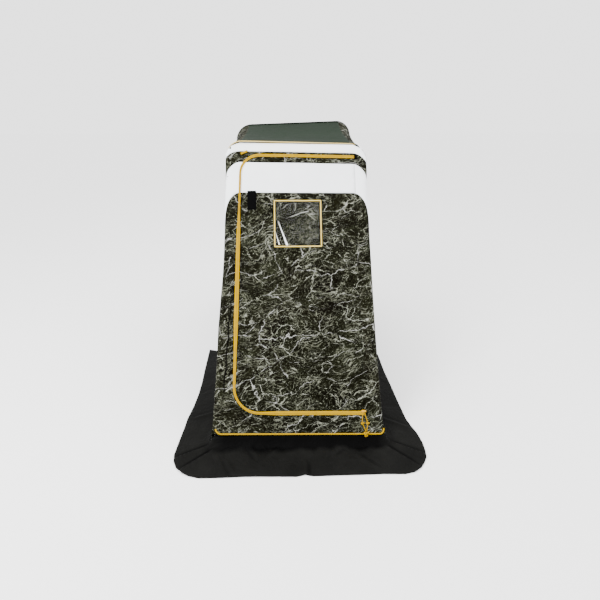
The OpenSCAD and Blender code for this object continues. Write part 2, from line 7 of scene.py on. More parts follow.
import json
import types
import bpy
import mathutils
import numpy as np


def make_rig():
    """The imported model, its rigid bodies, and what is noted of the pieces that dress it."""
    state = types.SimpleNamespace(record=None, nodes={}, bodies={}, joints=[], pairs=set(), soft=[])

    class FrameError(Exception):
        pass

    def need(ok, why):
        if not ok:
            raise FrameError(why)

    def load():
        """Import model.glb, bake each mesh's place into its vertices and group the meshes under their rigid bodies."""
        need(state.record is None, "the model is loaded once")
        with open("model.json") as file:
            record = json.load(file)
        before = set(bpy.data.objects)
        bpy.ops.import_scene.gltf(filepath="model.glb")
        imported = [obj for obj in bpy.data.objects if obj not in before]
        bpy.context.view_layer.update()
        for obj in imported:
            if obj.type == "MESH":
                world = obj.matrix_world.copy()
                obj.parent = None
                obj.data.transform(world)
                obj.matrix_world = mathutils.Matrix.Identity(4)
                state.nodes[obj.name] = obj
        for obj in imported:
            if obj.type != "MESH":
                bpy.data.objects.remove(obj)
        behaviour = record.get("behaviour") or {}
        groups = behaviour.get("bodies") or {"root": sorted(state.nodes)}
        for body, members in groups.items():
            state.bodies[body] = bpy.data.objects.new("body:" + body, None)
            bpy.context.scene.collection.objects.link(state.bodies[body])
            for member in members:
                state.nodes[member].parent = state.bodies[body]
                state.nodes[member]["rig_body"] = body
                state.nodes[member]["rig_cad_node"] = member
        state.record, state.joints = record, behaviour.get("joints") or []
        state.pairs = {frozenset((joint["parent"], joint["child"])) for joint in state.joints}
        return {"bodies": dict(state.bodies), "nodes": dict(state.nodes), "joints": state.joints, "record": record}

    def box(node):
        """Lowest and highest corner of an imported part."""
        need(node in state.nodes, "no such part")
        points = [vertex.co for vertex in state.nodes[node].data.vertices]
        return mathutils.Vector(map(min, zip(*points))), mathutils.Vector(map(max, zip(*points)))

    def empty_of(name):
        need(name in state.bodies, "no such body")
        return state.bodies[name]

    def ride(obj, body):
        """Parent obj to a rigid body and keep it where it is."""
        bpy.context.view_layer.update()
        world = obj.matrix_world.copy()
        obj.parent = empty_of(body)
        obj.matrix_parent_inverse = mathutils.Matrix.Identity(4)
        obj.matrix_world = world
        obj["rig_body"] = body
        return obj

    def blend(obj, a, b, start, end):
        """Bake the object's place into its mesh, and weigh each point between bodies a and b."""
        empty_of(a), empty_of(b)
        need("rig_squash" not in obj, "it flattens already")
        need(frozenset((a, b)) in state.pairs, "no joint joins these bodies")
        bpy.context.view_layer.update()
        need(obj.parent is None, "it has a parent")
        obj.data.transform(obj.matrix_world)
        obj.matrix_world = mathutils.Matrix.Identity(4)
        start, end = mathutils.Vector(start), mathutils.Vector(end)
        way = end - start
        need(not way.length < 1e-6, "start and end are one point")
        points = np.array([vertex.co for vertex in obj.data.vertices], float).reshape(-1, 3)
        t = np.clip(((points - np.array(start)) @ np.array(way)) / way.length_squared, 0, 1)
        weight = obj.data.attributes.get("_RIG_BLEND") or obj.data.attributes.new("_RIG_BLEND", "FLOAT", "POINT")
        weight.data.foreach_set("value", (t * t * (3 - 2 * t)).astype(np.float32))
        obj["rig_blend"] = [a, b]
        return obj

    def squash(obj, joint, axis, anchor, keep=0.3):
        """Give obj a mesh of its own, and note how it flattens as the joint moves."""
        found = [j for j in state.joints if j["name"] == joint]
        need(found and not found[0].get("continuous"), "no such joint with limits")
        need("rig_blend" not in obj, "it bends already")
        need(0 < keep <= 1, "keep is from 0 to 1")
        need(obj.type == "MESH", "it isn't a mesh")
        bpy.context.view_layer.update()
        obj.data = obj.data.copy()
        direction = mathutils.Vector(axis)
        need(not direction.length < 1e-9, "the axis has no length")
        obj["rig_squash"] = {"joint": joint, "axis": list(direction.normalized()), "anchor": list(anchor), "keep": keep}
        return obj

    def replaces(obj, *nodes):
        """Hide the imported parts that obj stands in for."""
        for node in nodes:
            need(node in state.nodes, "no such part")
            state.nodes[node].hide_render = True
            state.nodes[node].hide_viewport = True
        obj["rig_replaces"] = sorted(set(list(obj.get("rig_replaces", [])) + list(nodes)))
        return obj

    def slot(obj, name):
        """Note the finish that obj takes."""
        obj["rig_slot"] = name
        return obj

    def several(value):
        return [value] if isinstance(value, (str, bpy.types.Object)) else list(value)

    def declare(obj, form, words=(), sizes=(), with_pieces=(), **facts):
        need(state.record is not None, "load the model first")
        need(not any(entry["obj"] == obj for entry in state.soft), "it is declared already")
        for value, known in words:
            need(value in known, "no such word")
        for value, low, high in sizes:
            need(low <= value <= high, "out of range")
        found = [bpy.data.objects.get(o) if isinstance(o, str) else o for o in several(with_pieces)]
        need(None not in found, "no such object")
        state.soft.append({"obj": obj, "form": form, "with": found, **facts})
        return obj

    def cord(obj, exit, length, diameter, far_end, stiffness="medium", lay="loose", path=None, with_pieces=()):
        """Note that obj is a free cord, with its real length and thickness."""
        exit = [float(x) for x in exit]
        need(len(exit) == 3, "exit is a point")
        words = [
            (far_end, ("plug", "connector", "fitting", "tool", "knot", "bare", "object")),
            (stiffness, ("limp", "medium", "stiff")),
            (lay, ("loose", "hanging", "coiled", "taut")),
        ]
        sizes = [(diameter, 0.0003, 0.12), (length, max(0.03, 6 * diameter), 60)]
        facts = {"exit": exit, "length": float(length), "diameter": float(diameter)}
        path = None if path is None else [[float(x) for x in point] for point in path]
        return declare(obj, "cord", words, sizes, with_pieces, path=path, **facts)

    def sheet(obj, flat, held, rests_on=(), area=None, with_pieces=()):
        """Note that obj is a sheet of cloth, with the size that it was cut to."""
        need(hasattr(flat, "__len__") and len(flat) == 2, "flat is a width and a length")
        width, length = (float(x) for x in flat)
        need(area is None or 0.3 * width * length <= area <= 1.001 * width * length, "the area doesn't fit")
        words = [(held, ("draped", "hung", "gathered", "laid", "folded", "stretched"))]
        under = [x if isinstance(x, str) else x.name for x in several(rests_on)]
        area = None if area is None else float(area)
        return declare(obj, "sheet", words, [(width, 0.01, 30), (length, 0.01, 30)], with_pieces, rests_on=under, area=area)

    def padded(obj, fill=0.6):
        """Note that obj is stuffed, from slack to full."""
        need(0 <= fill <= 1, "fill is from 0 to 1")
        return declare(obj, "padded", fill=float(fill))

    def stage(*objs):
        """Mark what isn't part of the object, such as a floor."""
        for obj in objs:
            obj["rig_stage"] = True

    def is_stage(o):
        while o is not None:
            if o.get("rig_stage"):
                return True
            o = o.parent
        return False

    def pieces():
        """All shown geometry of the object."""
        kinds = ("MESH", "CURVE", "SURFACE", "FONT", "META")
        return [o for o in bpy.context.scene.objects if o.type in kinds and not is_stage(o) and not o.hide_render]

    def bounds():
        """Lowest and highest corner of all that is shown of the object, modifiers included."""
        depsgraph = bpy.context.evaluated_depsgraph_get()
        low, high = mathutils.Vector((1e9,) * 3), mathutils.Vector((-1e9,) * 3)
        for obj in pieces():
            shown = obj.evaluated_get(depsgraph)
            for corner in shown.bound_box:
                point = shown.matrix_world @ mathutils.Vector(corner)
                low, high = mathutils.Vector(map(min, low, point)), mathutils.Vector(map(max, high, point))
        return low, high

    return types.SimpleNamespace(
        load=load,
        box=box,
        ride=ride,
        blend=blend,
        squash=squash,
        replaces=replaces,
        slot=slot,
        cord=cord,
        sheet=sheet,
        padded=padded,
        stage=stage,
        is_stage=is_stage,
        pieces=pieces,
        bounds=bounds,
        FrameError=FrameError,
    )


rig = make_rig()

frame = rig.load()

import json
import math

import bmesh
import bpy
from mathutils import Vector, noise
from mathutils.geometry import area_tri, delaunay_2d_cdt
from mathutils.kdtree import KDTree

CAD_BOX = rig.bounds()
JOINTS = {j["name"]: j for j in frame["record"]["behaviour"]["joints"]}
MM = 0.001
SIDES = ((1, "right"), (-1, "left"))

# ---- places, from the frame


def box(node):
    """Lowest and highest corner of one of the frame's pieces."""
    return [Vector(corner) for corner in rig.box(node)]


HUB = Vector(JOINTS["rear_bow_fold"]["pos_m"])
DOOR_AXIS = Vector(JOINTS["door_swing"]["axis"])
SLOPE = math.atan2(-DOOR_AXIS.z, -DOOR_AXIS.y)
UP = Vector((0, math.cos(SLOPE), math.sin(SLOPE)))
OUT = Vector((0, -math.sin(SLOPE), math.cos(SLOPE)))
SKIN = 4 * MM
wall_lo = box("front_wall")[0]
roof_lo, roof_hi = box("roof_canopy")
back_hi, rear_hi, skirt_hi = (box(node)[1] for node in ("back_canopy", "rear_canopy", "skirt"))
hem_lo, hem_hi = box("side_hems")
FOOT = Vector((0, wall_lo.y, wall_lo.z + SKIN * math.cos(SLOPE)))
FRONT_TOP = Vector((0, roof_lo.y, FOOT.z + (roof_lo.y - FOOT.y) * math.tan(SLOPE)))
PEAK = Vector((0, roof_hi.y, roof_hi.z))
REAR_TOP = Vector((0, back_hi.y, rear_hi.z))
STERN = Vector((0, rear_hi.y, HUB.z + 7 * MM))
WALL_LEN = (FRONT_TOP - FOOT).length
FOOT_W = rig.box("side_wall_right")[1][0]
TOP_W = roof_hi.x + 5 * MM
HEM_TOP_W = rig.box("side_hems")[1][0] - 3 * MM
HUB_W = HEM_TOP_W - 41 * MM
CORNER_R = 0.092
EDGE_TURN = math.radians(86)
STRAIGHT = WALL_LEN - CORNER_R

# ---- camera and stage

LOOK_DOWN, LOOK_RIGHT = math.radians(24.3), math.radians(1.83)


def shares(n):
    """0 to 1 in n steps."""
    return [k / n for k in range(n + 1)]


def linked(name, data):
    obj = bpy.data.objects.new(name, data)
    bpy.context.scene.collection.objects.link(obj)
    return obj


camera = linked("camera", bpy.data.cameras.new("camera"))
camera.data.lens = 25.8
camera.location = (-0.066, -2.906, 1.788)
camera.rotation_euler = (math.pi / 2 - LOOK_DOWN, 0, -LOOK_RIGHT)
bpy.context.scene.camera = camera

world = bpy.data.worlds.new("studio")
world.use_nodes = True
glow = world.node_tree.nodes["Background"].inputs
glow["Color"].default_value = (1, 1, 1, 1)
glow["Strength"].default_value = 2.6
bpy.context.scene.world = world


def area_light(name, place, aim, size, power):
    light = bpy.data.lights.new(name, "AREA")
    light.shape = "RECTANGLE"
    light.size, light.size_y = size
    light.energy = power
    obj = linked(name, light)
    obj.location = place
    obj.rotation_euler = (Vector(aim) - Vector(place)).to_track_quat("-Z", "Y").to_euler()


area_light("key", (-2.6, -2.6, 3.6), (0, 0, 0.7), (1.6, 1.4), 260)
area_light("fill", (3.2, -2.6, 2.4), (0, 0, 0.8), (2, 2), 50)
area_light("top", (0.3, 0.8, 5), (0, 0.2, 0.5), (3, 3), 90)

# ---- materials

LIGHT = 3.4  # how brightly the studio lights a white wall


def rgb(r, g, b, light=LIGHT):
    """Albedo of a surface that the studio's light shows as this screen colour, 0 to 255."""
    return tuple((((c / 255 + 0.055) / 1.055) ** 2.4 if c > 10 else c / 255 / 12.92) / light
        for c in (r, g, b)) + (1,)


def toned(color, factor):
    """The same colour, lighter or darker."""
    return tuple(min(1, c * factor) for c in color[:3]) + (1,)


MATERIALS = {}


class Nodes:
    """Builds one material. Most calls add a node and return its output."""

    def __init__(self, name):
        made = bpy.data.materials.new(name)
        MATERIALS[name] = made
        made.use_nodes = True
        self.tree = made.node_tree
        self.shader = self.tree.nodes["Principled BSDF"]

    def feed(self, socket, value):
        if isinstance(value, bpy.types.NodeSocket):
            self.tree.links.new(value, socket)
        else:
            socket.default_value = value

    def node(self, kind, inputs=(), **settings):
        node = self.tree.nodes.new("ShaderNode" + kind)
        for key, value in settings.items():
            setattr(node, key, value)
        for key, value in dict(inputs).items():
            self.feed(node.inputs[key], value)
        return node

    def add(self, kind, output=0, inputs=(), **settings):
        return self.node(kind, inputs, **settings).outputs[output]

    def uv(self):
        return self.add("TexCoord", "UV")

    def xy(self):
            return self.node("SeparateXYZ", {0: self.uv()}).outputs[:2]

    def place(self):
        return self.add("TexCoord", "Object")

    def math(self, operation, a, b=0):
        return self.add("Math", 0, {0: a, 1: b}, operation=operation)

    def times(self, a, b):
        return self.math("MULTIPLY", a, b)

    def plus(self, a, b):
        return self.math("ADD", a, b)

    def apart(self, a, b):
        """Distance between two values."""
        return self.math("ABSOLUTE", self.math("SUBTRACT", a, b))

    def vector(self, operation, a, b, output=0):
        return self.add("VectorMath", output, {0: a, 1: b}, operation=operation)

    def moved(self, where, by):
        return self.vector("ADD", where, by)

    def scaled(self, where, by):
        return self.vector("MULTIPLY", where, by)

    def dot(self, a, b):
        return self.vector("DOT_PRODUCT", a, b, 1)

    def noise(self, where, scale, detail=3, rough=0.5, distortion=0, output="Fac"):
        return self.add("TexNoise", output, {"Vector": where, "Scale": scale, "Detail": detail,
            "Roughness": rough, "Distortion": distortion})

    def jitter(self, *noise_settings):
        """Noise round zero, to move a place with."""
        return self.vector("SUBTRACT", self.noise(*noise_settings, output="Color"), (0.5, 0.5, 0.5))

    def edges(self, where, scale):
        return self.add("TexVoronoi", "Distance", {"Vector": where, "Scale": scale},
            feature="DISTANCE_TO_EDGE")

    def span(self, value, low, high, to_low=0, to_high=1):
        return self.add("MapRange", 0, {"Value": value, "From Min": low, "From Max": high,
            "To Min": to_low, "To Max": to_high})

    def mix(self, share, a, b):
        return self.add("Mix", 2, {0: share, 6: a, 7: b}, data_type="RGBA")

    def bump(self, height, strength, distance, under=None):
        inputs = {"Height": height, "Strength": strength, "Distance": distance}
        if under is not None:
            inputs["Normal"] = under
        return self.add("Bump", 0, inputs)

    def finish(self, color, rough, normal, gloss=0.5, **more):
        inputs = {"Base Color": color, "Roughness": rough, "Normal": normal, "Specular IOR Level": gloss}
        for name, value in {**inputs, **more}.items():
            self.feed(self.shader.inputs[name], value)


def weave(m, pitch=1.1 * MM):
    """Height of a plain weave: two crossed sets of threads."""
    def threads(direction):
        return m.add("TexWave", "Fac", {"Vector": m.uv(), "Scale": 0.10134 / pitch, "Distortion": 0.6,
            "Detail": 1}, wave_type="BANDS", bands_direction=direction)
    return m.plus(threads("X"), threads("Y"))


def crumpled(m, scale, rough, distortion, strength):
    """Normal of crumpled woven cloth."""
    creases = m.noise(m.uv(), scale, 5, rough, distortion)
    return m.bump(weave(m), 0.25, 0.25 * MM, m.bump(creases, strength, 12 * MM))


# The skirt's pressed folds on each side: two ends in its flat metres, and a height in mm
PLEATS = {
    1: (((0.485, -0.01), (0.7, -0.135), 18), ((0.462, -0.03), (0.64, -0.225), 13),
        ((0.02, -0.15), (0.015, -0.26), 9), ((0.25, -0.03), (0.17, -0.1), 7),
        ((0.49, 0.2), (0.66, 0.1), 6), ((0.3, -0.1), (0.42, -0.23), 5)),
    -1: (((0.485, -0.004), (0.7, -0.12), 18), ((0.47, -0.035), (0.655, -0.205), 17),
        ((0.3, -0.03), (0.24, -0.12), 8), ((0.12, -0.04), (0.19, -0.11), 6),
        ((0.49, 0.3), (0.66, 0.22), 6), ((0.42, -0.12), (0.36, -0.24), 5)),
}


def painted_pleat_shade(m, side, a, b, height):
    """Painted shade in the valley beside one pleat of the skirt."""
    a, b = Vector((side * a[0], a[1], 0)), Vector((side * b[0], b[1], 0))
    d = b - a
    across = Vector((-d.y, d.x, 0)).normalized() * side
    where = m.vector("SUBTRACT", m.uv(), tuple(a))
    share = m.dot(where, tuple(d / d.length_squared))
    off = m.apart(m.dot(where, tuple(across)), 22 * MM)
    ends = m.times(m.span(share, -0.05, 0.2), m.span(share, 1.05, 0.75))
    return m.times(m.times(m.span(off, 16 * MM, 4 * MM), ends), min(0.8, 0.05 * height))


def painted_skirt_shade(m):
    """Share of painted shade on the skirt: in the tuck under the wall's foot and beside its pleats."""
    x, y = m.xy()
    wave = m.span(m.noise(m.scaled(m.uv(), (1, 0.25, 1)), 7, 2), 0.3, 0.7, -22 * MM, 22 * MM)
    down = m.plus(m.times(y, -1), wave)
    beside = m.span(m.math("ABSOLUTE", x), 0.56, 0.44)
    shade = m.times(m.times(m.span(down, 0.084, 0.052), beside), 0.95)
    for side, pleats in PLEATS.items():
        for fold in pleats:
            shade = m.math("MAXIMUM", shade, painted_pleat_shade(m, side, *fold))
    return shade


def cloth(name, color, rough, crumple, gloss, spread, painted_shade=None):
    """Plain coated cloth: weave, small crumples and slight fading, and painted shade where a shade mask is given."""
    m = Nodes(name)
    fade = m.noise(m.uv(), 6, 5, 0.6)
    shade = m.mix(m.span(fade, 0.3, 0.7), toned(color, 1 - spread), toned(color, 1 + spread))
    if painted_shade:
        # painted shade: the colour is mixed toward near black by the given share
        shade = m.mix(painted_shade(m), shade, rgb(1, 1, 1))
    m.finish(shade, m.span(fade, 0.3, 0.7, rough - 0.07, rough + 0.07),
        crumpled(m, 11, 0.62, 0.8, crumple), gloss)


def painted_fold_shade(m):
    """Painted shade in the wall's long upright fold, left of the zipper."""
    x, up = m.xy()
    waver = m.span(m.noise(m.uv(), 9, 3), 0.3, 0.7, -6 * MM, 6 * MM)
    centre = m.plus(m.plus(m.times(up, 0.088), -0.464), waver)
    line = m.span(m.apart(x, centre), 7 * MM, 3 * MM)
    return m.times(line, m.times(m.span(up, 0.2, 0.28), m.span(up, 0.92, 0.72)))


def camo(name, shift=0, dim=1, fold=False):
    """A marsh print: brown and grey-green patches and flecks under pale branching stems; with fold set, painted shade
    in the wall's long fold.
    """
    m = Nodes(name)
    uv = m.moved(m.uv(), (shift, shift * 0.7, 0))
    flow = m.moved(uv, m.scaled(m.jitter(uv, 3.5), (0.22, 0.2, 0)))
    leaning = m.add("VectorRotate", 0, {"Vector": flow, "Angle": math.radians(-14)}, rotation_type="Z_AXIS")
    long = m.scaled(leaning, (0.62, 1.35, 1))

    def paint(share, under, r, g, b):
        return m.mix(share, under, toned(rgb(r, g, b), dim))
    ground = m.span(m.noise(long, 7, 5, 0.6, 0.5), 0.38, 0.62)
    base = paint(ground, toned(rgb(16, 12, 4), dim), 34, 34, 18)
    base = paint(m.span(m.noise(long, 6, 6, 0.7, 0.4), 0.53, 0.72, 0, 0.6), base, 72, 77, 54)
    fleck = m.noise(m.scaled(leaning, (1, 1.9, 1)), 66, 5, 0.8, 0.3)
    bare = m.span(m.noise(long, 4.2, 3, 0.55, 0.3), 0.38, 0.54, 0.28, 1)
    base = paint(m.times(m.span(fleck, 0.525, 0.61, 0, 0.62), bare), base, 106, 111, 86)
    base = paint(m.times(m.span(fleck, 0.59, 0.67), bare), base, 236, 240, 216)
    base = paint(m.span(fleck, 0.48, 0.37), base, 10, 7, 2)
    fray = m.moved(long, m.scaled(m.jitter(uv, 30, 5, 0.7), (0.034, 0.042, 0)))

    def stems(shift_x, shift_y, scale, thin, cover, seed):
        gate = m.noise(m.moved(flow, (seed, seed, 0)), 9, 5, 0.7, 0.2)
        line = m.span(m.edges(m.moved(fray, (shift_x, shift_y, 0)), scale), thin, thin * 0.2)
        return m.times(line, m.span(gate, cover, cover + 0.07))
    base = paint(m.times(stems(7.9, 4.4, 48, 0.048, 0.5, 14.9), 0.7), base, 188, 191, 166)
    base = paint(m.times(stems(2.1, 8.3, 22, 0.025, 0.505, 11.3), 0.9), base, 222, 225, 202)
    base = paint(stems(5.3, 1.7, 10.5, 0.013, 0.488, 7.7), base, 240, 243, 224)
    base = paint(stems(0, 0, 5.2, 0.0075, 0.475, 3.1), base, 255, 255, 248)
    # painted shade in the wall's long upright fold, left of the zipper
    if fold:
        base = paint(m.times(painted_fold_shade(m), 0.95), base, 9, 7, 4)
    m.finish(base, m.span(fleck, 0.3, 0.7, 0.66, 0.8), crumpled(m, 8, 0.6, 0.9, 0.45), 0.015)


def zipper_cloth():
    """Zipper: u runs along it and v across it. Teeth in the middle, stitches at the edges."""
    m = Nodes("zipper_tape")
    along, across = m.xy()
    across = m.math("ABSOLUTE", across)

    def wave(pitch):
        return m.math("SINE", m.times(along, 2 * math.pi / pitch))
    tooth = wave(3 * MM)
    coil = m.span(across, 3.2 * MM, 2.2 * MM)
    stitch = m.times(m.span(m.apart(across, 6.6 * MM), 0.7 * MM, 0.3 * MM), m.span(wave(5 * MM), -0.3, 0.1))
    shade = m.mix(m.span(m.noise(m.uv(), 30, 4), 0.3, 0.7), (0.29, 0.165, 0, 1), (0.35, 0.21, 0, 1))
    shade = m.mix(m.times(stitch, 0.6), shade, (0.42, 0.28, 0.01, 1))
    # painted shade between the coil's teeth
    shade = m.mix(m.times(coil, m.span(tooth, 0, -0.8, 0, 0.55)), shade, (0.12, 0.06, 0, 1))
    height = m.plus(m.times(coil, m.span(tooth, -1, 1)), m.times(stitch, 0.4))
    normal = m.bump(weave(m, 0.8 * MM), 0.2, 0.2 * MM, m.bump(height, 0.7, 0.8 * MM))
    m.finish(shade, 0.75, normal, 0.02)


def cord_cloth(name, color, twist=5 * MM):
    """Braided cord: u runs along it and v round it, from 0 to 1."""
    m = Nodes(name)
    along, round_ = m.xy()
    turn = m.times(along, 2 * math.pi / twist)
    round_ = m.times(round_, 4 * math.pi)
    braid = m.times(m.math("SINE", m.plus(turn, round_)), m.math("SINE", m.math("SUBTRACT", turn, round_)))
    # painted shade in the grooves between the braid's strands
    m.finish(m.mix(m.span(braid, -0.6, 0.5), toned(color, 0.62), color), 0.75,
        m.bump(braid, 0.7, 0.6 * MM), 0.02)


def plastic(name, color, rough, grain=900, scuff=0.12):
    """Moulded plastic: fine grain, and worn patches, paler and scratched."""
    m = Nodes(name)
    where = m.place()
    wear = m.noise(where, 9, 6, 0.7)
    light = tuple(min(1, c + scuff * 0.25) for c in color[:3]) + (1,)
    scratches = m.noise(m.scaled(where, (1, 0.06, 1)), 260, 3, 0.6)
    shade = m.mix(m.times(m.span(wear, 0.5, 0.75), m.span(scratches, 0.45, 0.7)), color, light)
    normal = m.bump(m.noise(where, grain, 2), 0.25, 0.3 * MM)
    m.finish(shade, m.span(wear, 0.3, 0.7, rough - 0.1, rough + 0.12), normal)


def metal(name, color, rough=0.32, metallic=1):
    """Brushed metal with duller stains."""
    m = Nodes(name)
    where = m.place()
    stain = m.noise(where, 14, 5, 0.65)
    lines = m.noise(m.scaled(where, (1, 0.05, 1)), 700, 2, 0.5)
    shade = m.mix(m.span(stain, 0.42, 0.68), color, toned(color, 0.72))
    m.finish(shade, m.span(stain, 0.3, 0.7, rough - 0.08, rough + 0.15), m.bump(lines, 0.12, 0.15 * MM),
        Metallic=metallic)


def vinyl():
    """Clear vinyl with soft ripples, and painted highlights: two bright streaks along creases at its lower left corner.
    """
    m = Nodes("clear_vinyl")
    uv = m.uv()
    x, y = m.xy()

    def crease(x0, lean, low, high, half):
        off = m.apart(x, m.plus(m.times(y, lean), x0))
        wide = m.span(y, low, high, half, half * 0.15)
        inside = m.times(m.math("GREATER_THAN", y, low), m.math("LESS_THAN", y, high))
        return m.times(m.span(m.math("SUBTRACT", off, wide), 0, -1.5 * MM), inside)
    # painted highlight: two opaque pale streaks along creases stand in for reflections in the vinyl
    painted_glare = m.math("MAXIMUM", crease(0.077, -0.36, 0.008, 0.16, 7 * MM),
        crease(0.03, -0.28, 0.012, 0.1, 4 * MM))
    haze = m.times(m.span(m.noise(uv, 14, 4), 0.5, 0.75), 0.008)
    solid = m.math("MAXIMUM", m.times(painted_glare, m.span(m.noise(uv, 40), 0.25, 0.5)), haze)
    m.finish((0.85, 0.87, 0.88, 1), 0.2, m.bump(m.noise(uv, 7, 2), 0.3, 8 * MM), IOR=1.45)
    share = m.plus(m.times(solid, 0.9), 0.003)
    shown = m.add("MixShader", 0, {0: share, 1: m.add("BsdfTransparent"), 2: m.shader.outputs[0]})
    m.feed(m.tree.nodes["Material Output"].inputs[0], shown)


# the front wall's print carries painted shade along its long fold
camo("camo_fabric", fold=True)
camo("camo_side", 3.7, 0.9)
# the window cover's print is a little darker: painted shade for the cover behind the window's vinyl
camo("camo_cover", 8.2, 0.95)
cloth("roof_fabric", rgb(57, 70, 57), 0.62, 0.4, 0.02, 0.16)
cloth("band_white", (0.86, 0.88, 0.9, 1), 0.6, 0.25, 0.2, 0.03)
# the skirt gets painted shade in the tuck under the wall's foot and beside its pleats
cloth("skirt_fabric", rgb(35, 35, 33), 0.6, 0.8, 0.03, 0.3, painted_skirt_shade)
cloth("tab_fabric", rgb(10, 10, 10), 0.75, 0.3, 0.02, 0.2)
cloth("binding_tape", rgb(255, 224, 120, 1.9), 0.7, 0.1, 0.1, 0.06)
cloth("seat_fabric", rgb(78, 82, 86), 0.85, 0.3, 0.1, 0.2)
zipper_cloth()
cord_cloth("pull_cord", (0.42, 0.24, 0, 1))
cord_cloth("piping", (0.42, 0.25, 0, 1), 8 * MM)
cord_cloth("pale_piping", rgb(255, 226, 150, 1.6), 8 * MM)
vinyl()
metal("zipper_slider", rgb(240, 180, 10, 1.6), 0.4, 0.6)
metal("pole_steel", rgb(92, 94, 96), 0.45, 0.7)
metal("hardware_steel", rgb(188, 192, 196))
plastic("sled_plastic", rgb(34, 34, 36), 0.5)
plastic("runner_plastic", rgb(196, 198, 202), 0.45, 700, 0.3)
plastic("black_plastic", rgb(28, 28, 29), 0.6)

# ---- mesh helpers

STEP = 0.015


def piece(name, verts, faces, uvs, material, body, replaces=(), thick=0, slot=None, ring=False):
    """A mesh piece with a UV pair per vertex; a ring's two ends are joined."""
    mesh = bpy.data.meshes.new(name)
    mesh.from_pydata([tuple(v) for v in verts], [], faces)
    layer = mesh.uv_layers.new(name="cloth")
    for loop in mesh.loops:
        layer.data[loop.index].uv = uvs[loop.vertex_index]
    mesh.materials.append(MATERIALS[material])
    mesh.polygons.foreach_set("use_smooth", [True] * len(mesh.polygons))
    mesh.validate()
    if ring:
        joined = bmesh.new()
        joined.from_mesh(mesh)
        bmesh.ops.remove_doubles(joined, verts=joined.verts, dist=0.001 * MM)
        joined.to_mesh(mesh)
        joined.free()
    obj = linked(name, mesh)
    if thick:
        solid = obj.modifiers.new("thickness", "SOLIDIFY")
        solid.thickness = thick
        solid.offset = -1
    if body:
        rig.ride(obj, body)
    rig.slot(obj, slot or material)
    if replaces:
        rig.replaces(obj, *replaces)
    return obj


def grid(rows, across):
    """Faces between rows of across + 1 points."""
    n = across + 1
    corners = [k * n + j for k in range(rows) for j in range(across)]
    return [(a, a + n, a + n + 1, a + 1) for a in corners]


def turned(faces, turn):
    """The same faces, looking the other way if turn is set."""
    return [tuple(reversed(f)) if turn else f for f in faces]


def area_of(verts, faces):
    fans = [(f[0], f[k], f[k + 1]) for f in faces for k in range(1, len(f) - 1)]
    return sum(area_tri(*(Vector(verts[i]) for i in fan)) for fan in fans)


def inside(point, polygon):
    x, y = point
    hit = False
    for (x0, y0), (x1, y1) in zip(polygon, polygon[1:] + polygon[:1]):
        if (y0 > y) != (y1 > y) and x < (x1 - x0) * (y - y0) / (y1 - y0) + x0:
            hit = not hit
    return hit


def resampled(points, step, closed=True):
    """The same outline with its long sides cut up, so that cloth can bend there."""
    out = []
    for (x0, y0), (x1, y1) in zip(points, points[1:] + (points[:1] if closed else [])):
        n = max(1, round(math.hypot(x1 - x0, y1 - y0) / step))
        out += [(x0 + (x1 - x0) * k / n, y0 + (y1 - y0) * k / n) for k in range(n)]
    return out if closed else out + [points[-1]]


def cut_cloth(outline, holes, step, within=None):
    """A flat cloth: an outline, holes and a grid of points inside, as triangles. within clips it."""
    limits = [outline] + ([within] if within else [])

    def kept(p):
        return all(inside(p, loop) for loop in limits) and not any(inside(p, hole) for hole in holes)
    points, edges = [], []
    for loop in [resampled(loop, step) for loop in limits + list(holes)]:
        first = len(points)
        points += loop
        edges += [(first + k, first + (k + 1) % len(loop)) for k in range(len(loop))]
    xs, ys = zip(*outline)
    row_step = step * 0.866  # height of a triangle with equal sides
    border = KDTree(len(points))
    for k, p in enumerate(points):
        border.insert((*p, 0), k)
    border.balance()
    for j in range(int((max(ys) - min(ys)) / row_step) + 1):
        for i in range(int((max(xs) - min(xs)) / step) + 1):
            p = (min(xs) + (i + 0.5 * (j % 2)) * step, min(ys) + j * row_step)
            if kept(p) and border.find((*p, 0))[2] > step * 0.55:
                points.append(p)
    verts, _, faces, *_ = delaunay_2d_cdt([Vector(p) for p in points], edges, [], 0, 1e-6)
    chosen = []
    for f in faces:
        if kept((sum(verts[i][0] for i in f) / 3, sum(verts[i][1] for i in f) / 3)):
            a, b, c = (Vector(verts[i]).to_3d() for i in f)
            chosen.append(tuple(f) if (b - a).cross(c - a).z > 0 else tuple(reversed(f)))
    used = sorted({i for f in chosen for i in f})
    number = {old: new for new, old in enumerate(used)}
    return [tuple(verts[i]) for i in used], [tuple(number[i] for i in f) for f in chosen]


def hung(name, outline, place, material, body, held, rests_on, holes=(), step=STEP, within=None,
         replaces=(), thick=1.2 * MM, slot=None):
    points, faces = cut_cloth(outline, holes, step, within)
    obj = piece(name, [place(x, y) for x, y in points], faces, points, material, body, replaces, thick, slot)
    xs, ys = zip(*points)
    flat = (max(xs) - min(xs), max(ys) - min(ys))
    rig.sheet(obj, flat=flat, held=held, rests_on=rests_on,
        area=min(area_of(points, faces), flat[0] * flat[1]))
    return obj


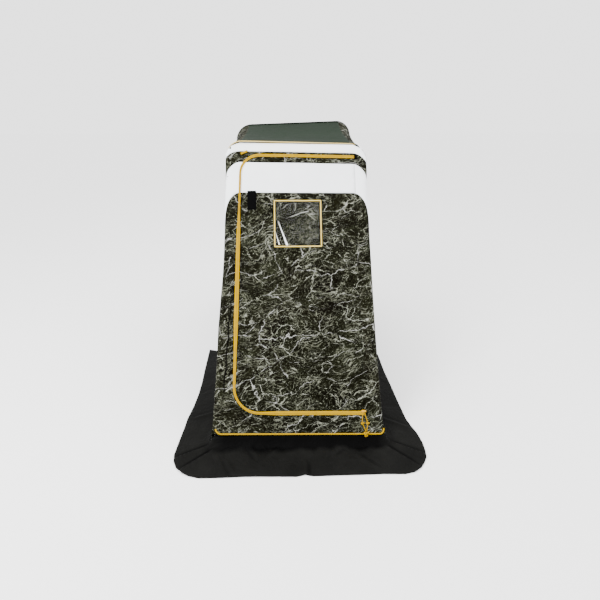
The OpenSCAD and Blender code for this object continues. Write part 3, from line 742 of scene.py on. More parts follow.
def tube(name, path, radius, material, body, replaces=(), sides=8, slot=None, ring=False):
    """A round cord along points; its ends are small domes, or meet when it is a level ring."""
    path = [Vector(p) for p in path]
    verts, faces, uvs = [], [], []
    along, u = 0, None
    end = len(path) - 1

    def heading(k):
        before, after = ((k - 1) % end, (k + 1) % end) if ring else (max(k - 1, 0), min(k + 1, end))
        return (path[after] - path[before]).normalized()
    for k, p in enumerate(path):
        t = heading(k)
        if u is None:
            u = Vector((0, 0, 1)) if ring else t.orthogonal().normalized()
        else:
            u = (u - t * u.dot(t)).normalized()
            along += (p - path[k - 1]).length
        w = t.cross(u)
        for s in range(sides):
            a = 2 * math.pi * s / sides
            verts.append(p + radius * (math.cos(a) * u + math.sin(a) * w))
            uvs.append((along, s / sides))
    round_ = [(s, (s + 1) % sides) for s in range(sides)]
    for first in range(0, end * sides, sides):
        faces += [(first + a, first + b, first + b + sides, first + a + sides) for a, b in round_]
    if not ring:
        for k, sign in ((0, -1), (end, 1)):
            tip = len(verts)
            verts.append(path[k] + heading(k) * sign * radius * 0.6)
            uvs.append((along * k / end, 0))
            corners = [(k * sides + a, k * sides + b) for a, b in round_]
            faces += [(tip, b, a) if sign < 0 else (tip, a, b) for a, b in corners]
    return piece(name, verts, faces, uvs, material, body, replaces, slot=slot, ring=ring)


def smooth_path(points, n=4):
    """A smooth curve through points, with n steps between each two."""
    pts = [Vector(p) for p in points]
    pts = [2 * pts[0] - pts[1]] + pts + [2 * pts[-1] - pts[-2]]
    out = []
    for k in range(1, len(pts) - 2):
        a, b, c, d = pts[k - 1:k + 3]
        for t in shares(n)[:-1]:
            out.append(0.5 * ((2 * b) + (c - a) * t + (2 * a - 5 * b + 4 * c - d) * t * t
                + (3 * b - a - 3 * c + d) * t ** 3))
    return out + [pts[-2]]


def ease(t):
    t = min(1, max(0, t))
    return t * t * (3 - 2 * t)


def wavy(*place):
    """Smooth noise from -1 to 1."""
    return noise.noise(Vector(place))


# ---- the front wall's surface

SIDE_DIP = 13 * MM
LEFT_SWELL = 24 * MM


def half_width(v, side=1):
    """Half width of the wall at a height along the slope: dipped sides, round top corners."""
    f = min(1, max(0, v / WALL_LEN))
    w = FOOT_W + (TOP_W - FOOT_W) * f - SIDE_DIP * math.sin(math.pi * f) ** 0.8
    if side < 0:
        w += LEFT_SWELL * (1 - ease((v - 0.55) / 0.55))
    over = v - STRAIGHT
    if over > 0:
        w -= CORNER_R - math.sqrt(max(0, CORNER_R ** 2 - over ** 2))
    return w


def edge_radius(v):
    """The cloth turns round the wall's edge softly, and sharply at its top corners."""
    return 0.006 + 0.032 * ease((WALL_LEN - 0.02 - v) / 0.28)


def cloth_half(v, side=1):
    """Half width of the cloth, which turns round the edge and ends on the side."""
    r = edge_radius(v)
    return half_width(v, side) + r * (EDGE_TURN - 1) + r * 0.3


def settle(x, v):
    """How far the cloth is pulled along the slope: the wall hangs a little askew."""
    return (1 - ease(v / 0.5)) * (-5 - 19 * x) * MM + ease((v - 1.3) / 0.25) * (-3 - 22 * x) * MM


def wrinkle(x, v):
    """How far the wall's cloth stands off its plane: soft folds, and one deep fold at the left."""
    folds = (wavy(x * 2.6, v * 1.5, 1.3) * 4.5 * MM + wavy(x * 6 + v * 3.2, v * 2.2 - x * 3, 7.7) * 2.6 * MM
        + wavy(x * 15, v * 11, 4.4) * 0.9 * MM)
    left = (v - 0.2) / 0.62
    crease = 0
    if 0 < left < 1:
        off = x + 0.452 - 0.035 * left
        crease = -9 * MM * math.exp(-(off / 0.012) ** 2) * math.sin(math.pi * left) ** 0.5
        crease += 4 * MM * math.exp(-((off - 0.025) / 0.016) ** 2) * math.sin(math.pi * left)
    hem = ease(v / 0.12) * ease((WALL_LEN - v) / 0.1)
    hinge = ease(abs(x - hinge_x(v)) / 0.07) if ZIP_BOTTOM < v < ZIP_TOP else 1
    return (folds * (0.25 + 0.75 * hem) + crease) * hinge


def off_wall(x, v, n):
    """A point over the wall's true plane."""
    return FOOT + Vector((x, 0, 0)) + UP * v + OUT * n


def on_wall(x, v, n=0):
    """A point of the wall's cloth: x and v are flat coordinates, n stands off it."""
    edge = edge_radius(v)
    a, side = abs(x), 1 if x >= 0 else -1
    w = half_width(v, side) - edge
    rise = n + wrinkle(x, v)
    v += settle(x, v)
    if a <= w:
        return off_wall(x, v, rise)
    turn = min((a - w) / edge, EDGE_TURN)
    tail = max(0, a - w - edge * EDGE_TURN)
    r = edge + rise
    across = w + r * math.sin(turn) + tail * math.cos(EDGE_TURN)
    back = edge - r * math.cos(turn) + tail * math.sin(EDGE_TURN)
    return off_wall(side * across, v, -back)


# ---- zipper line and door outline

ZIP_TOP, ZIP_BOTTOM = 1.655, 0.118
ZIP_LEFT_TOP, ZIP_LEFT_BOTTOM = -0.342, -0.381
HINGE_TOP, HINGE_BOTTOM = 0.353, 0.373
ZIP_TOP_R, ZIP_BOTTOM_R = 0.12, 0.146


def arc(cx, cy, r, a0, a1, n):
    angles = [math.radians(a0 + (a1 - a0) * t) for t in shares(n)]
    return [(cx + r * math.cos(a), cy + r * math.sin(a)) for a in angles]


def zip_run(o=0, e=0):
    """The zipper's C from the hinge's top to its bottom; o moves it outwards, e shortens its ends."""
    return ([(HINGE_TOP - e, ZIP_TOP + o)]
        + arc(ZIP_LEFT_TOP + ZIP_TOP_R, ZIP_TOP - ZIP_TOP_R, ZIP_TOP_R + o, 90, 180, 14)
        + arc(ZIP_LEFT_BOTTOM + ZIP_BOTTOM_R, ZIP_BOTTOM + ZIP_BOTTOM_R, ZIP_BOTTOM_R + o, 180, 270, 14)
        + [(HINGE_BOTTOM - e, ZIP_BOTTOM - o)])


def hinge_x(v):
    return HINGE_BOTTOM + (HINGE_TOP - HINGE_BOTTOM) * (v - ZIP_BOTTOM) / (ZIP_TOP - ZIP_BOTTOM)


def fold_target():
    """Where the wall's foot is carried, in the front bow's rest frame, when all is folded."""
    turn = math.radians(JOINTS["ground_bow_fold"]["range_deg"][1] - 1)
    d = FOOT - HUB
    c, s = math.cos(-turn), math.sin(-turn)
    return HUB + Vector((0, d.y * c - d.z * s, d.y * s + d.z * c))


gathered = FOOT - fold_target()
CRUMPLE_AXIS = gathered.normalized()
CRUMPLE_KEEP = 1 - gathered.length / abs((FOOT - FRONT_TOP).dot(CRUMPLE_AXIS))


def crumple(*objects):
    """The front wall and all on it gather up under the front bow as the frame folds."""
    for obj in objects:
        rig.squash(obj, "ground_bow_fold", axis=CRUMPLE_AXIS, anchor=FRONT_TOP, keep=CRUMPLE_KEEP)


# ---- pull cords, first of the pieces

CORD_R = 2.5 * MM
# The cords' points in millimetres: height and distance from the wall, and each cord's places across it
CORD_LEVELS = ((107, 7), (100, 6.4), (90, 5.6), (80, 4.8), (70, 4), (60, 3.4), (50, 3.2), (40, 3.2),
    (30, 3.4), (20, 5), (12, 8.4), (6, 11.6))
CORDS = {
    "left": (362, 361, 360, 359, 358, 358, 359, 362, 366, 370, 373, 375),
    "right": (374, 375, 377, 380, 383, 386, 388, 388, 386, 384, 382, 381),
}


def flat_wall(x, v, n):
    """A point over the wall's true plane, in millimetres."""
    return off_wall(x * MM, v * MM, n * MM)


def lace(name, path, radius, replaces=()):
    return tube(name, path, radius, "pull_cord", "zipper_slider", replaces)


def knot(name, centre, size, replaces=()):
    """An overhand knot: a cord winds round a centre one and a half times and crosses itself."""
    path = []
    for t in shares(48):
        a = 3 * math.pi * t + 0.3
        r = size * (0.62 + 0.3 * math.cos(a * 2))
        path.append(centre + Vector((r * math.cos(a), 0, 0)) + UP * (r * 0.8 * math.sin(a))
            + OUT * (size * 0.42 * math.sin(a * 2)))
    return lace(name, path, size * 0.34, replaces)


tail = smooth_path([flat_wall(382, -4, 19), flat_wall(389, 1, 18), flat_wall(397, 5, 15)])
knotted_end = [knot("pull_knot_end_braid", flat_wall(377, -5, 19), 13 * MM, ["pull_knot_end"]),
    knot("pull_knot_end_tail", flat_wall(376, -19, 18), 8 * MM),
    lace("pull_knot_end_lace", tail, 2.2 * MM)]
pulls = list(knotted_end)
for side, xs in CORDS.items():
    route = [(x, *level) for x, level in zip(xs, CORD_LEVELS)]
    path = smooth_path([flat_wall(*p) for p in route])
    pull = lace("pull_cord_" + side + "_braid", path, CORD_R, ["pull_cord_" + side])
    x, v, n = route[6]
    ball = knot("pull_knot_" + side, flat_wall(x, v, n + 6), 9 * MM, ["pull_knots"] if side == "left" else ())
    length = sum((b - a).length for a, b in zip(path, path[1:]))
    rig.cord(pull, exit=flat_wall(*route[0]), length=length, diameter=2 * CORD_R, far_end="knot",
        stiffness="limp", lay="hanging", path=path,
        with_pieces=[ball] + knotted_end if side == "left" else [ball])
    pulls += [pull, ball]
crumple(*pulls)

# ---- front wall, bands and door

GAP = 0.8 * MM
DOORWAY = zip_run(-9 * MM)
DOOR = zip_run(-9 * MM - GAP, GAP)
LEFT, RIGHT, LOW, HIGH = -0.137, 0.142, 1.092, 1.373  # the window's sides
LAP = 4 * MM


def window(grow):
    a, b, c, d = LEFT - grow, RIGHT + grow, LOW - grow, HIGH + grow
    return [(a, c), (b, c), (b, d), (a, d)]


def band(low, high, start=-0.47, end=0.47):
    """Outline of a band across the wall; low and high give its edges at x."""
    xs = [start + (end - start) * t for t in shares(60)]
    return [(x, low(x)) for x in xs] + [(x, high(x)) for x in reversed(xs)]


def drooped(level, left_drop, right_drop):
    """A band's edge: level in the middle, turned down round both shoulders."""
    def edge(x):
        t = min(0.97, max(0, (abs(x) - 0.34) / 0.115))
        return level - (left_drop if x < 0 else right_drop) * (1 - math.sqrt(1 - t * t)) / 0.76
    return edge


def front(name, outline, n, material, body, **more):
    """A cloth on the front wall or its door, n off the wall's surface."""
    crumple(hung(name, outline, lambda x, v: on_wall(x, v, n), material, body, "stretched",
        ["front_bow_top", "ground_bow_bar"], slot="camo_fabric", **more))


wall_rows = [WALL_LEN * t for t in shares(60)]
WALL = [(cloth_half(v), v) for v in wall_rows] + [(-cloth_half(v, -1), v) for v in reversed(wall_rows)]
front("front_wall_cloth", WALL, 0, "camo_fabric", "front_bow", holes=[DOORWAY], replaces=["front_wall"])
front("door_cloth", DOOR, 0, "camo_fabric", "door", holes=[window(0)], replaces=["door_panel"])

MAIN_BAND = drooped(1.423, 0.19, 0.22), drooped(1.61, 0.165, 0.165)
TOP_BAND = drooped(1.679, 0.085, 0.12), lambda x: WALL_LEN - 2 * MM
for label, outline in (("main_band_wall_left", band(*MAIN_BAND, -0.47, -0.3)),
        ("main_band_wall_right", band(*MAIN_BAND, 0.3, 0.47)),
        ("top_band_wall", band(*TOP_BAND))):
    front(label, outline, 1.3 * MM, "band_white", "front_bow", holes=[DOORWAY], within=WALL, thick=0.8 * MM)
front("main_band_door", band(*MAIN_BAND), 1.3 * MM, "band_white", "door", within=DOOR, thick=0.8 * MM)


def ribbon(name, path, half, material, body, lift, crown, replaces=(), thick=1, across=6, slot=None,
        closed=False):
    """A tape on the wall, sizes in mm: half is its half width, or gives it at a share of its length."""
    pts = path + ([path[0]] if closed else [])
    last = len(pts) - 1
    total = sum(math.dist(a, b) for a, b in zip(pts, pts[1:]))
    verts, uvs, done = [], [], 0
    for k, p in enumerate(pts):
        if k:
            done += math.dist(pts[k - 1], p)
        before, after = ((k - 1) % last, (k + 1) % last) if closed else (max(k - 1, 0), min(k + 1, last))
        t = (Vector(pts[after]) - Vector(pts[before])).normalized()
        h = (half(done / total) if callable(half) else half) * MM
        for t_across in shares(across):
            s = -1 + 2 * t_across
            verts.append(on_wall(p[0] + t.y * h * s, p[1] - t.x * h * s, (lift + crown * (1 - s * s)) * MM))
            uvs.append((done, h * s))
    return piece(name, verts, grid(last, across), uvs, material, body, replaces, thick * MM, slot, closed)


def zip_half(t):
    """Half width of the zipper's tape, which is pulled narrow at the corners."""
    marks = ((0, 9), (0.2, 9), (0.26, 6), (0.34, 5.5), (0.4, 11), (0.56, 12.5), (0.66, 8), (0.74, 6.5),
        (0.79, 8), (0.83, 11.5), (1, 11.5))
    for (a, low), (b, high) in zip(marks, marks[1:]):
        if a <= t <= b:
            return low + (high - low) * ease((t - a) / (b - a))
    return high


zip_path = resampled(zip_run(), 0.012, False)
tail_path = [(-0.338 + 0.008 * k, 1.662 + 0.0035 * k) for k in range(6)]
end_path = [(HINGE_TOP + 0.004 * k, ZIP_TOP) for k in range(5)]
crumple(ribbon("door_zipper_tape", zip_path, zip_half, "zipper_tape", "front_bow", 2.2, 2, ["door_zipper"]),
    ribbon("zipper_tail", tail_path, 6, "zipper_tape", "front_bow", 2.4, 1.5),
    ribbon("zipper_end_stop", end_path, 13, "tab_fabric", "front_bow", 3, 2.5, slot="zipper_tape"))

# Window: pane, binding and the cover behind it
flat_pane, faces = cut_cloth(window(LAP), (), STEP)
verts = [on_wall(x, v, -1.6 * MM + 1.2 * MM * wavy(x * 9, v * 7, 2)) for x, v in flat_pane]
pane = piece("window_vinyl", verts, faces, [(x - LEFT, v - LOW) for x, v in flat_pane], "clear_vinyl", "door",
    ["window_pane"], 0.6 * MM)
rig.sheet(pane, flat=(RIGHT - LEFT + 2 * LAP, HIGH - LOW + 2 * LAP), held="stretched", rests_on=["door_cloth"])
crumple(pane, ribbon("window_binding_tape", resampled(window(0), 0.009), 3.4, "binding_tape", "door",
    1.6, 1.4, ["window_binding"], closed=True))
crumple(hung("window_cover_cloth", [(-0.153, 1.08), (0.158, 1.08), (0.158, 1.388), (-0.153, 1.388)],
    lambda x, v: on_wall(x, v, -7 * MM), "camo_cover", "window_cover", "hung", ["door_cloth"],
    replaces=["window_cover"], slot="camo_fabric"))
crumple(ribbon("door_tab_patch", [(-0.273, 1.318 + 0.115 * t) for t in shares(10)], 26, "tab_fabric",
    "door", 1.8, 1, ["door_tab"], 1.6, 8, "skirt_fabric"))

# Slider: a body with a raised bridge
BEVEL = 1.2


def slab(outline, low, high):
    """A bevelled plate in the wall's plane, from its outline in millimetres."""
    n = len(outline)
    cx, cy = (sum(c) / n for c in zip(*outline))
    rings = ((low, 1), (high - BEVEL, 1), (high, 1 - BEVEL / 10))
    verts = [flat_wall(cx + (x - cx) * size, cy + (y - cy) * size, z)
        for z, size in rings for x, y in outline]
    faces = [(r * n + k, r * n + (k + 1) % n, (r + 1) * n + (k + 1) % n, (r + 1) * n + k)
        for r in range(2) for k in range(n)]
    return verts, faces + [tuple(reversed(range(n))), tuple(range(2 * n, 3 * n))]


slider_verts, slider_faces = [], []
for outline, low, high in ((arc(361, 118, 8.5, 90, 270, 8) + arc(375, 118, 6.5, -90, 90, 8), 4.6, 9.2),
        (arc(364, 118, 3.6, 90, 270, 6) + arc(373, 118, 3.6, -90, 90, 6), 9, 12.4)):
    verts, faces = slab(outline, low, high)
    slider_faces += [tuple(i + len(slider_verts) for i in f) for f in faces]
    slider_verts += verts
crumple(piece("zipper_slider_body", slider_verts, slider_faces, [(v.x, v.z) for v in slider_verts],
    "zipper_slider", "zipper_slider", ["zipper_slider"]))

# Piping at the foot, in millimetres of the flat wall
foot_r = 33
foot_half = FOOT_W / MM - 3
left_turn = arc(foot_r - foot_half, foot_r + 1, foot_r, 190, 270, 10)
straight = [((foot_half - foot_r) * (k / 20 - 1), 1) for k in range(1, 40)]
foot_path = left_turn + straight + [(-x, v) for x, v in reversed(left_turn)]
crumple(tube("foot_piping_cord", [on_wall(x * MM, v * MM, 4.5 * MM) for x, v in foot_path], 4.6 * MM,
    "piping", "front_bow", ["foot_piping"], 10, "zipper_tape"))

# ---- ribs and canopies

# Each rib: half width, top, corner radius, lean of its top, and how much wider it is on its left
RIBS = {
    "front": (TOP_W - 5 * MM, FRONT_TOP, CORNER_R, -0.026, 0),
    "middle": (back_hi.x, PEAK, 0.1, 0.036, 18 * MM),
    "rear": (rear_hi.x, REAR_TOP, 0.11, 0, 0),
    "stern": (box("sled_tub")[1].x + 6 * MM, STERN, 0.098, 0, 0),
}
LEG_STEPS, ARC_STEPS, TOP_STEPS = 16, 10, 14
START = 0.17


def rib(name, out=0):
    """Points of a rib from one hub over the top to the other; out moves it off the frame."""
    w, top, r, lean, wider = RIBS[name]
    w, r = w + out, r + out
    d = (top - HUB).normalized()
    l = (top - HUB).length + out
    half = [(w, START + (l - r - START) * k / LEG_STEPS) for k in range(LEG_STEPS)]
    half += arc(w - r, l - r, r, 0, 90, ARC_STEPS)
    half += [((w - r) * (1 - k / (TOP_STEPS / 2)), l) for k in range(1, TOP_STEPS // 2)]
    full = half + [(0, l)] + [(-x, s) for x, s in reversed(half)]
    return [HUB + Vector((x + min(0, x) / w * wider, 0, 0))
        + d * (s + lean * x * ease((s - l + 0.35) / 0.3)) for x, s in full]


def canopy(name, first, second, node, flat_name, body_a, body_b, across=22, camo_rows=LEG_STEPS + 3):
    """The cloth between two ribs sags a little and wrinkles, and is camo low on both sides."""
    a, b = rib(first), rib(second)
    rows = len(a) - 1
    inward = ((RIBS[first][1] + RIBS[second][1]) / 2 - HUB).normalized() * -1
    verts, uvs = [], []
    along = 0
    for k, (start, end) in enumerate(zip(a, b)):
        if k:
            along += ((start - a[k - 1]).length + (end - b[k - 1]).length) / 2
        steep = min(1, abs(k - rows / 2) / (len(a) / 2 - LEG_STEPS))
        side = Vector((-1 if start.x > 0 else 1, 0, 0))
        pull = (inward * (1 - steep) + side * steep).normalized()
        width = (end - start).length
        for t in shares(across):
            p = start.lerp(end, t)
            fold = wavy(*(p * 5)) * 5 * MM + wavy(along * 13, t * 2.5, 3.3) * 3 * MM
            verts.append(p + pull * math.sin(math.pi * t) * (min(16 * MM, width * 0.05) + fold))
            uvs.append((along, t * width))
    faces = [(p, s, r, q) for p, q, r, s in grid(rows, across)]

    obj = piece(name, verts, faces, uvs, "roof_fabric", None, [node], 1.2 * MM)
    obj.data.materials.append(MATERIALS["camo_side"])
    in_camo = [not camo_rows <= k < rows - camo_rows for k in range(rows) for j in range(across)]
    obj.data.polygons.foreach_set("material_index", in_camo)
    widest = max((q - p).length for p, q in zip(a, b))
    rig.sheet(obj, flat=(along, widest), held="stretched", rests_on=[flat_name],
        area=min(area_of(verts, faces), along * widest * 0.999))
    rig.blend(obj, body_a, body_b, RIBS[first][1], RIBS[second][1])


canopy("roof_canopy_cloth", "front", "middle", "roof_canopy", "middle_bow_top", "front_bow", "middle_bow",
    16, LEG_STEPS + 9)
canopy("back_canopy_cloth", "middle", "rear", "back_canopy", "rear_bow_top", "middle_bow", "rear_bow")
canopy("rear_canopy_cloth", "rear", "stern", "rear_canopy", "rear_bow_top", "rear_bow", "sled")

TAPE_STEP = 14 * MM / 3
for rib_name, body, out in (("middle", "middle_bow", 1.4), ("rear", "rear_bow", 1.4), ("stern", "sled", 1.2)):
    line = rib(rib_name, out * MM)
    normal = (RIBS[rib_name][1] - HUB).normalized().cross(Vector((1, 0, 0)))
    verts = [p + normal * TAPE_STEP * s - (p - HUB).normalized() * 0.4 * MM * s * s
        for p in line for s in range(-3, 4)]
    faces = [(p, s, r, q) for p, q, r, s in grid(len(line) - 1, 6)]
    uvs = [(v.z + v.x, (i % 7 - 3) * TAPE_STEP) for i, v in enumerate(verts)]
    piece(rib_name + "_rib_tape", verts, faces, uvs, "roof_fabric", body, (), 1.2 * MM)

front_line = [p for p in rib("front", 3.5 * MM) if p.z > HUB.z + 0.9]
tube("roof_piping_cord", front_line, 3.2 * MM, "pale_piping", "front_bow", ["roof_piping"], 10, "zipper_tape")

# ---- side walls

# Rows of a side wall: along the ground bow, up the wall's straight edge, and round its top corner
LOW_ROWS, WALL_ROWS, TURN_ROWS = 10, 44, 12
LOW_SHARE = 0.34  # share of the front bow's leg that the low rows reach


def wall_edge(sign, v, inset):
    p = on_wall(sign * (cloth_half(v, sign) - inset), v)
    return Vector((abs(p.x), p.y, p.z))


def side_edges(sign):
    """Matching points of a side wall's two edges: ground bow and wall, and front bow."""
    wall_side, bow_side = [], []
    w, top, r = RIBS["front"][:3]
    d, l = (top - HUB).normalized(), (top - HUB).length
    leg = FOOT - HUB
    straight = l - r - START
    for k in range(LOW_ROWS):
        t = START / leg.length + (1 - START / leg.length) * k / LOW_ROWS
        wall_side.append(HUB + leg * t + Vector((HUB_W + (half_width(0, sign) - HUB_W) * t, 0, 0)))
        bow_side.append((w, START + straight * LOW_SHARE * k / LOW_ROWS))
    for t in shares(WALL_ROWS):
        wall_side.append(wall_edge(sign, STRAIGHT * t, 3 * MM))
        bow_side.append((w, START + straight * (LOW_SHARE + (1 - LOW_SHARE) * t)))
    for x, s in arc(0, 0, 1, 0, 90, TURN_ROWS)[1:]:
        wall_side.append(wall_edge(sign, STRAIGHT + CORNER_R * s, MM))
        bow_side.append((w - r + r * x, l - r + r * s))
    return wall_side, [HUB + Vector((x, 0, 0)) + d * s for x, s in bow_side]


def wall_row(v):
    """The row of a side wall that meets the front wall at a height along its slope."""
    if v <= STRAIGHT:
        return LOW_ROWS + WALL_ROWS * v / STRAIGHT
    turn = math.asin(min(1, (v - STRAIGHT) / CORNER_R)) / (math.pi / 2)
    return LOW_ROWS + WALL_ROWS + TURN_ROWS * turn


SIDE_EDGES = {sign: side_edges(sign) for sign, label in SIDES}
LAST_ROW = LOW_ROWS + WALL_ROWS + TURN_ROWS


def side_point(sign, row, t, n):
    """A point of a side wall: row counts along the edges, t runs from wall to bow."""
    k = min(int(row), LAST_ROW - 1)
    a, b = (edge[k].lerp(edge[k + 1], row - k) for edge in SIDE_EDGES[sign])
    p = a.lerp(b, t)
    held = math.sin(math.pi * t) * min(1, (b - a).length / 0.5)
    fold = (wavy(p.y * 5, p.z * 3 + p.y * 2, sign * 3.1) * 8 * MM
        + wavy(p.y * 16, p.z * 5 - p.y * 6, sign * 5.7) * 2.5 * MM)
    return Vector((sign * (p.x - held * (10 * MM + fold) + n), p.y, p.z))


def side_cloth(name, sign, low, high, n, material, replaces, across, thick, rests_on, flat=None):
    """A side wall, or a band on it, between two rows."""
    count = max(2, round(high - low))
    verts = [side_point(sign, low + (high - low) * k, t, n) for k in shares(count) for t in shares(across)]
    faces = turned(grid(count, across), sign < 0)
    uvs = [(p.y, p.z) for p in verts]
    obj = piece(name, verts, faces, uvs, material, None, replaces, thick, "camo_fabric")
    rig.blend(obj, "front_bow", "ground_bow", FRONT_TOP, FOOT)
    area = area_of(verts, faces)
    length = (verts[-1] - verts[0]).length
    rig.sheet(obj, flat=flat or (length, 1.1 * area / length), held="stretched", rests_on=rests_on, area=area)


for sign, label in SIDES:
    wall_name = "side_wall_" + label + "_cloth"
    side_cloth(wall_name, sign, 0, LAST_ROW, 0, "camo_side", ["side_wall_" + label], 22, 1.2 * MM,
        ["front_bow_legs", "ground_bow_legs"], (1.05, 1.7))
    for title, edges in (("main_band_side_", MAIN_BAND), ("top_band_side_", TOP_BAND)):
        low, high = (wall_row(edge(sign * cloth_half(edge(sign), sign))) for edge in edges)
        side_cloth(title + label, sign, low, high, 1.6 * MM, "band_white", (), 14, 0.8 * MM, [wall_name])

# ---- hems and skirt

HEM_ROWS, HEM_STEPS = 10, 50
for sign, label in SIDES:
    verts = []
    for k in shares(HEM_STEPS):
        y = hem_lo.y + (hem_hi.y - hem_lo.y) * k
        share = (HUB.y - y) / (HUB.y - FOOT.y)
        top = HUB.z + (FOOT.z - HUB.z) * share
        x = HUB_W + 3 * MM + (half_width(0, sign) - HUB_W) * share
        for t in shares(HEM_ROWS):
            wave = wavy(y * 7, t * 1.5, 2.2 * sign) * 7 * MM * math.sin(math.pi * min(1, t * 1.3))
            verts.append(Vector((sign * (x - wave * 0.5 - 2 * MM), y, top + (2 * MM - top) * t)))
    faces = turned(grid(HEM_STEPS, HEM_ROWS), sign > 0)
    hem = piece("side_hem_" + label, verts, faces, [(v.y, v.z) for v in verts], "camo_side", "ground_bow",
        ["side_hems"] if sign > 0 else (), 1.2 * MM, "camo_fabric")
    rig.sheet(hem, flat=(0.99, 0.25), held="hung", rests_on=["ground_bow_legs"], area=area_of(verts, faces))

SKIRT_BACK = skirt_hi.y - FOOT.y
DROP = 0.064


def pleat(p, a, b, height):
    """Height of a fold pressed along a line, with a steep and a soft side."""
    a, b = Vector(a), Vector(b)
    d = b - a
    t = (p - a).dot(d) / d.length_squared
    off = (p - a - d * t).dot(Vector((-d.y, d.x)).normalized())
    ends = ease((t + 0.1) / 0.3) * ease((1.08 - t) / 0.25)
    steep, soft = math.exp(-(off / 0.011) ** 2), math.exp(-((off - 0.022) / 0.012) ** 2)
    return height * MM * ends * (steep - 0.35 * soft)


def on_floor(x, y):
    """The skirt falls from the wall's foot, turns out and lies in soft folds."""
    p = Vector((abs(x), y))
    beyond = Vector((max(abs(x) - (0.474 if x > 0 else 0.5), 0), max(-y, 0))).length
    beside = 1 - ease((y - 0.01) / 0.16)
    fall = max(0, 1 - beyond / (0.065 + 0.02 * wavy(x * 8, y * 3, 7.7))) ** 2.1
    lie = 3.5 * MM + 2.6 * MM * (1 + wavy(x * 4.5, y * 6, 0.5))
    lie += 1.3 * MM * (1 + wavy(x * 15 + y * 6, y * 12, 3.5))
    lie += sum(pleat(p, *fold) for fold in PLEATS[1 if x > 0 else -1])
    lie += 3 * MM * wavy(x * 22, y * 5, 1.1) * math.sin(math.pi * min(1, fall * 1.2 + 0.02))
    edge = ease((y + 0.262) / 0.05)
    lie = 1.2 * MM + max(0, lie - 1.2 * MM) * (0.45 + 0.55 * edge)
    return Vector((x, y + FOOT.y, lie + (DROP - lie) * fall * beside))


skirt_hem = HEM_TOP_W + 8 * MM
SKIRT = [(0.638, SKIRT_BACK), (0.64, 0.7), (0.649, 0.5), (0.657, 0.32), (0.664, 0.18), (0.68, 0.11),
    (0.697, 0.05), (0.707, -0.03), (0.704, -0.1), (0.695, -0.145), (0.671, -0.185), (0.645, -0.218),
    (0.605, -0.244), (0.551, -0.256), (0.44, -0.252), (0.3, -0.254), (0.06, -0.255), (0.015, -0.246),
    (-0.03, -0.256), (-0.3, -0.248), (-0.45, -0.251), (-0.545, -0.25), (-0.6, -0.236), (-0.64, -0.215),
    (-0.681, -0.176), (-0.704, -0.13), (-0.713, -0.08), (-0.708, 0.02), (-0.702, 0.12), (-0.7, 0.22),
    (-0.684, 0.34), (-0.677, 0.46), (-0.677, 0.6), (-0.684, 0.76), (-0.69, 0.93), (-0.694, 1.06),
    (-0.6, 1.03), (-0.5, SKIRT_BACK)]
SKIRT_HOLE = [(HUB_W - 5 * MM, SKIRT_BACK + 0.01), (skirt_hem, 0.004), (-skirt_hem - LEFT_SWELL, 0.004),
    (5 * MM - HUB_W, SKIRT_BACK + 0.01)]
skirt = hung("skirt_cloth", SKIRT, on_floor, "skirt_fabric", "ground_bow", "laid", ["ground_bow_bar"],
    holes=[SKIRT_HOLE], step=0.013, replaces=["skirt"], thick=MM)
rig.squash(skirt, "ground_bow_fold", axis=(1, 0, 0), anchor=(0, 0, 0), keep=0.74)

# ---- seat

PAD_STEPS, PAD_LAYERS = 36, 10


def pad_outline(a, b):
    """A square's point moved onto a rounded square with pulled-in sides."""
    m = max(abs(a), abs(b))
    if m < 1e-6:
        return 0, 0
    p = 5
    r = m / ((abs(a) ** p + abs(b) ** p) ** (1 / p))
    pull = 1 - 0.035 * m * (1 - min(abs(a), abs(b)) / m) ** 1.5
    return a * r * pull, b * r * pull


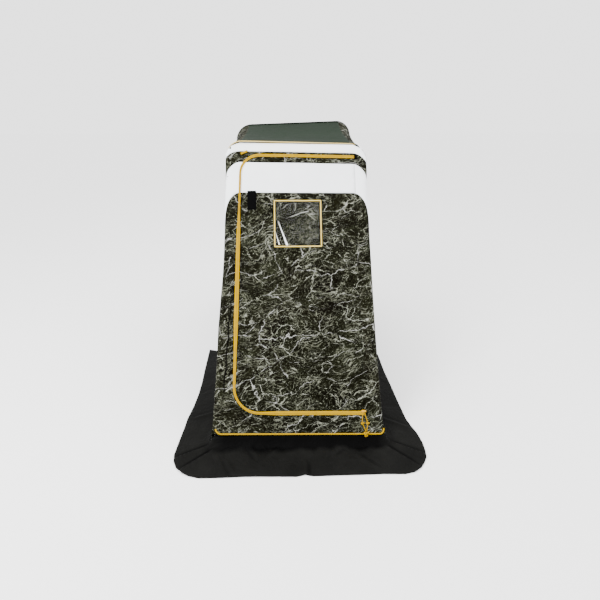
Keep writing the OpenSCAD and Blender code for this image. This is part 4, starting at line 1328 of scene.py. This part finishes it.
def pillow(name, node, body, crown, channels):
    """A sewn cushion: crowned faces, pulled-in sides and sewn channels."""
    lo, hi = box(node)
    centre, half = (lo + hi) / 2, (hi - lo) / 2
    verts, faces, uvs, known = [], [], [], {}

    def vertex(a, b, c):
        key = (round(a * 500), round(b * 500), round(c * 500))
        if key not in known:
            x, y = pad_outline(a, b)
            rim = max(abs(a), abs(b))
            dome = 1 - rim ** 4
            sew = sum(math.exp(-((b - at) / 0.05) ** 2) for at in channels)
            waist = 1 - 0.05 * c * c * ease((rim - 0.8) / 0.2)
            z = c * 0.97 if c < 0 else c * (0.8 + crown * dome - 0.16 * sew * dome)
            known[key] = len(verts)
            verts.append(centre + Vector((x * half.x * waist, y * half.y * waist, z * half.z)))
            uvs.append((a * half.x, b * half.y + c * half.z))
        return known[key]
    steps = [-1 + 2 * t for t in shares(PAD_STEPS)]
    for a0, a1 in zip(steps, steps[1:]):
        for b0, b1 in zip(steps, steps[1:]):
            q = [(a0, b0), (a1, b0), (a1, b1), (a0, b1)]
            faces.append(tuple(vertex(a, b, 1) for a, b in q))
            faces.append(tuple(vertex(a, b, -1) for a, b in reversed(q)))
    side = steps[:-1]
    rim = [(s, -1) for s in side] + [(1, s) for s in side]
    rim += [(-x, -y) for x, y in rim]
    layers = [-1 + 2 * t for t in shares(PAD_LAYERS)]
    for (a, b), (a1, b1) in zip(rim, rim[1:] + rim[:1]):
        for c0, c1 in zip(layers, layers[1:]):
            faces.append((vertex(a, b, c0), vertex(a1, b1, c0), vertex(a1, b1, c1), vertex(a, b, c1)))
    cushion = piece(name, verts, faces, uvs, "seat_fabric", body, [node])
    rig.padded(cushion, fill=0.7)
    for label, c in (("top", 0.86), ("bottom", -0.9)):
        loop = [pad_outline(a, b) for a, b in rim + rim[:1]]
        path = [centre + Vector((x * half.x * 1.004, y * half.y * 1.004, c * 0.8 * half.z)) for x, y in loop]
        tube(name + "_piping_" + label, path, 2.6 * MM, "seat_fabric", body, ring=True)


pillow("seat_cushion_pad", "seat_cushion", "seat_swivel", 0.2, (-0.33, 0.33))
pillow("seat_back_pad", "seat_back_cushion", "seat_back", 0.16, (-0.4, 0, 0.4))

# ---- materials of the frame's own pieces

FINISHES = {
    "sled_plastic": ["sled_tub"], "runner_plastic": ["sled_runners"],
    "black_plastic": ["axle_caps", "hub_spacers", "rail_supports", "seat_pan", "seat_back_shell"],
    "pole_steel": ["rear_bow_legs", "middle_bow_legs", "front_bow_legs", "ground_bow_legs"],
    "hardware_steel": ["tow_grommets", "pivot_brackets", "bracket_bolts", "pivot_axle_left",
        "pivot_axle_right", "seat_rails", "rear_batten", "batten_screws", "rear_bow_top", "middle_bow_top",
        "front_bow_top", "ground_bow_bar", "seat_carriage", "seat_swivel", "seat_brackets",
        "seat_hinge_pins"],
}
for finish, nodes in FINISHES.items():
    for node in nodes:
        data = frame["nodes"][node].data
        data.materials.clear()
        data.materials.append(MATERIALS[finish])

# ---- floor

floor = bpy.data.meshes.new("floor")
floor.from_pydata([(-30, -30, 0), (30, -30, 0), (30, 30, 0), (-30, 30, 0)], [], [(0, 1, 2, 3)])
floor_obj = linked("floor", floor)
ground = Nodes("floor_white")
ground.finish((0.98, 0.98, 0.98, 1), 0.9, ground.bump(ground.noise(ground.place(), 6), 0.02, 2 * MM))
floor.materials.append(MATERIALS["floor_white"])
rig.stage(floor_obj)

with open("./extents.json", "w") as out:
    json.dump({"cad": [list(c) for c in CAD_BOX], "visual": [list(c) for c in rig.bounds()]}, out)
